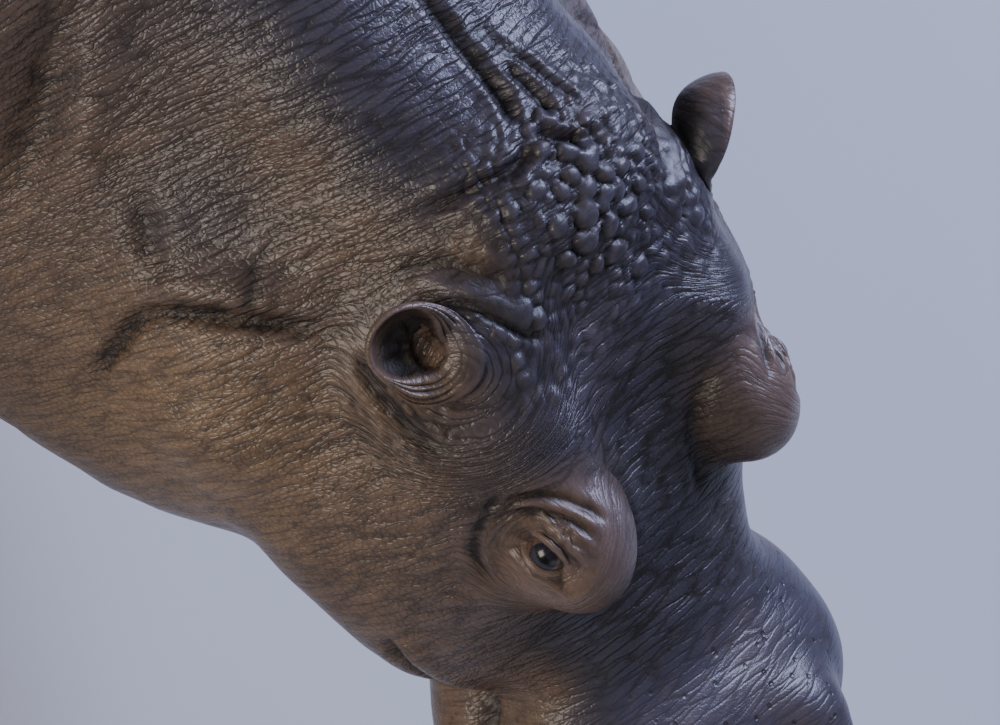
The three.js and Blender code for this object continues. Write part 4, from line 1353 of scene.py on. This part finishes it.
top, fine = skin.value("slate"), skin.value("fine")
small_cells = (wrinkle_cells(0.0056, 0.0080, 0.8) * 4.5).least(1.0)
long_cells = (wrinkle_cells(0.0100, 0.060, 1.0) * 5.5).least(1.0)
big_cells = (wrinkle_cells(0.026, 0.080, 1.0) * 4.0).least(1.0)
pores = skin.noise(place, 520.0, 2.0)
bristle = skin.node("ShaderNodeTexVoronoi", {"feature": "F1"}, {"Vector": place, "Scale": 55.0}, "Distance")
bristle_pits = (1.0 - bristle.smooth(0.10, 0.24)) * skin.value("muzzle")
small_share, long_share = 1.0 - top * 0.55, top * 0.55 + 0.6
relief = small_cells * small_share * 0.00055 + long_cells * long_share * 0.00080 + big_cells * 0.0008
skin.bump(relief * fine + pores * 0.0002 - bristle_pits * 0.0009)
print("wrinkles", len(skin.tree.nodes), "nodes")

# %% Colours of the hide
# The slate colour is partly the back's own grey and partly a painted bluish sheen; the paler ridge colour is
# a painted highlight; the near-black colour is painted shade.
BROWN, SLATE_AND_SHEEN, BLUSH = (0.175, 0.112, 0.073, 1), (0.058, 0.054, 0.077, 1), (0.220, 0.148, 0.130, 1)
TAN, GREY, RIDGE_HIGHLIGHT = (0.290, 0.185, 0.105, 1), (0.090, 0.070, 0.062, 1), (0.200, 0.150, 0.130, 1)
SHADE_COLOUR = (0.012, 0.008, 0.007, 1)
mottle, freckle = skin.noise(place, 5.0, 4.0), skin.noise(place, 60.0, 3.0)
# The painted shade of creases and hollows, kept on the hide's points.
hollow_shade = skin.value("shade_in_hollows")
colour = skin.blend(BROWN, SLATE_AND_SHEEN, (top + (mottle - 0.5) * 1.1).smooth(0.05, 1.05))
colour = skin.blend(colour, TAN, skin.value("jowl") * (mottle * 0.9 + 0.25))
colour = skin.blend(colour, GREY, (freckle * 0.9).smooth(0.35, 0.75) * 0.45)
colour = skin.blend(colour, BLUSH, skin.value("blush") * (freckle * 0.7 + 0.5))
# A painted highlight: the crests of ridges are made paler.
colour = skin.blend(colour, RIDGE_HIGHLIGHT, skin.value("crest") * 0.25)
# Painted shade in the cracks between wrinkle cells and in the bristle pits, added to the painted shade of
# creases and hollows.
crack_and_pit_shade = ((1.0 - small_cells) * small_share * 0.30 + (1.0 - long_cells) * long_share * 0.45
               + (1.0 - big_cells) * 0.2) * fine + bristle_pits * 0.5
colour = skin.blend(colour, SHADE_COLOUR, (crack_and_pit_shade + hollow_shade * 0.85).least(0.96))
skin.set(Base_Color=colour, Roughness=0.25 + freckle * 0.16 + hollow_shade * 0.25)
print("hide finish", len(skin.tree.nodes), "nodes")

# %% [markdown]
# ## Eyes and horn
# The eye is dark all over, with a long level pupil and a film of water that gives one soft
# highlight. Horn is dull, with fine upright strands. A painted picture could show both, but the
# values kept on the eye and the nail's own place give a pattern that needs no picture and stays
# put when the piece is seen from another side.

# %% Eyes
glass = Finish("wet_dark_eye", Roughness=0.24, Coat_Weight=0.6, Coat_Roughness=0.16, IOR=1.38)
along_eye, above_eye, out_eye = (glass.value(name) for name in ("eye_along", "eye_above", "eye_out"))
from_axis = (along_eye ** 2.0 + above_eye ** 2.0) ** 0.5
pupil = ((along_eye / 0.30) ** 2.0 + (above_eye / 0.19) ** 2.0).smooth(0.8, 1.25)
spokes = glass.node("ShaderNodeCombineXYZ", {}, {"X": along_eye / from_axis, "Y": above_eye / from_axis,
                                                 "Z": from_axis * 0.4})
streaks = glass.noise(spokes, 9.0, 3.0)
veins = glass.noise(glass.place(), 240.0)
iris = glass.blend((0.008, 0.007, 0.014, 1), (0.026, 0.020, 0.032, 1), streaks.smooth(0.35, 0.7))
white = glass.blend((0.11, 0.066, 0.055, 1), (0.045, 0.026, 0.022, 1), veins.smooth(0.4, 0.7))
ball = glass.blend(iris, white, from_axis.smooth(0.60, 0.68) + (out_eye * -1.0).smooth(0.0, 0.1))
glass.set(Base_Color=glass.blend((0.002, 0.002, 0.003, 1), ball, pupil))
glass.bump(glass.noise(glass.place(), 300.0) * 0.00002)

# %% Nails
horn = Finish("worn_horn", Coat_Weight=0.25, Coat_Roughness=0.3)
horn_place = horn.place()
upright = horn.node("ShaderNodeMapping", {}, {"Vector": horn_place, "Scale": (1.0, 1.0, 0.12)})
strands = horn.noise(upright, 420.0, 2.0)
stain = horn.noise(horn_place, 45.0, 3.0)
worn = (strands * 0.5 + stain * 0.7).smooth(0.4, 0.8)
tone = horn.blend((0.115, 0.082, 0.056, 1), (0.038, 0.028, 0.022, 1), worn)
horn.set(Base_Color=tone, Roughness=0.42 + stain * 0.25)
horn.bump(strands * 0.0004 + stain * 0.0006)

# %% Put the finishes on
for pieces, finish in (([hide], skin), (eyes, glass), (nails, horn)):
    for piece in pieces:
        piece.data.materials.clear()
        piece.data.materials.append(finish.material)
for name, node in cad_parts.items():
    finish = glass if name.startswith("eye") else horn if name.startswith("nail") else skin
    node.data.materials.clear()
    node.data.materials.append(finish.material)

# %% [markdown]
# ## Floor, light and camera
# A pale paper floor, one big cool light high on the animal's left, one warmer and lower on its
# right, and very little from the front, so that the wet back gleams and the brow stays dark.
# Area lights are soft, as a studio's are. The camera looks down from behind the right shoulder,
# and its shift puts the middle of the ears right of the middle of the frame.

# %% Floor
bm = bmesh.new()
bmesh.ops.create_grid(bm, x_segments=1, y_segments=1, size=30)
bmesh.ops.translate(bm, verts=bm.verts, vec=(0, 0, -0.0005))
floor_mesh = bpy.data.meshes.new("floor")
bm.to_mesh(floor_mesh)
bm.free()
floor = bpy.data.objects.new("floor", floor_mesh)
bpy.context.scene.collection.objects.link(floor)
paper = Finish("pale_paper", Roughness=0.8)
grain = paper.noise(paper.place(), 1.5, 2.0)
paper.set(Base_Color=paper.blend((0.46, 0.48, 0.52, 1), (0.50, 0.52, 0.55, 1), grain))
floor_mesh.materials.append(paper.material)

# %% Lights
def area_light(name, spot, target, size, power, colour):
    lamp = bpy.data.lights.new(name, "AREA")
    lamp.shape = "RECTANGLE"
    lamp.size, lamp.size_y = size
    lamp.energy = power
    lamp.color = colour
    holder = bpy.data.objects.new(name, lamp)
    holder.matrix_world = (Matrix.Translation(spot)
                           @ (Vector(target) - Vector(spot)).to_track_quat("-Z", "Y").to_matrix().to_4x4())
    bpy.context.scene.collection.objects.link(holder)


STUDIO_GREY, STUDIO_GLOW = (0.75, 0.8, 0.9, 1), 0.17
area_light("sky_left", (4.5, -0.5, 5.5), (0, -0.9, 1.1), (3.4, 3.4), 700, (0.60, 0.66, 1.0))
area_light("window_right", (-5.0, 0.5, 3.2), (0, -0.9, 1.0), (3, 3), 215, (1.0, 0.9, 0.78))
area_light("fill_front", (-1.5, -7.0, 2.2), (0, -0.5, 0.8), (4, 3), 18, (0.9, 0.93, 1.0))
world = bpy.data.worlds.new("studio")
bpy.context.scene.world = world
world.use_nodes = True
background = world.node_tree.nodes["Background"]
background.inputs["Color"].default_value = STUDIO_GREY
background.inputs["Strength"].default_value = STUDIO_GLOW
print("lights", [light.name for light in bpy.data.lights])

# %% Camera
IMAGE_WIDTH, IMAGE_HEIGHT = 1000, 725
CAMERA_DISTANCE = 4.5
FOCAL_PIXELS = 4275
EAR_PIXEL = (582, 270)
into = unit(0.573 * LEFT + 0.375 * NOSEWARD - 0.721 * BROWWARD)
across = 0.619 * LEFT + 0.355 * NOSEWARD + 0.692 * BROWWARD
across = unit(across - into * np.dot(across, into))
down = np.cross(into, across)
camera_data = bpy.data.cameras.new("camera")
camera_data.sensor_fit = "HORIZONTAL"
camera_data.sensor_width = 36
camera_data.lens = FOCAL_PIXELS * camera_data.sensor_width / IMAGE_WIDTH
camera_data.shift_x = (IMAGE_WIDTH / 2 - EAR_PIXEL[0]) / IMAGE_WIDTH
camera_data.shift_y = (EAR_PIXEL[1] - IMAGE_HEIGHT / 2) / IMAGE_WIDTH
camera = bpy.data.objects.new("camera", camera_data)
turn = Matrix([list(row) for row in np.stack([across, -down, -into], axis=1)])
camera.matrix_world = Matrix.Translation(EAR_MIDDLE - into * CAMERA_DISTANCE) @ turn.to_4x4()
bpy.context.scene.collection.objects.link(camera)
bpy.context.scene.camera = camera
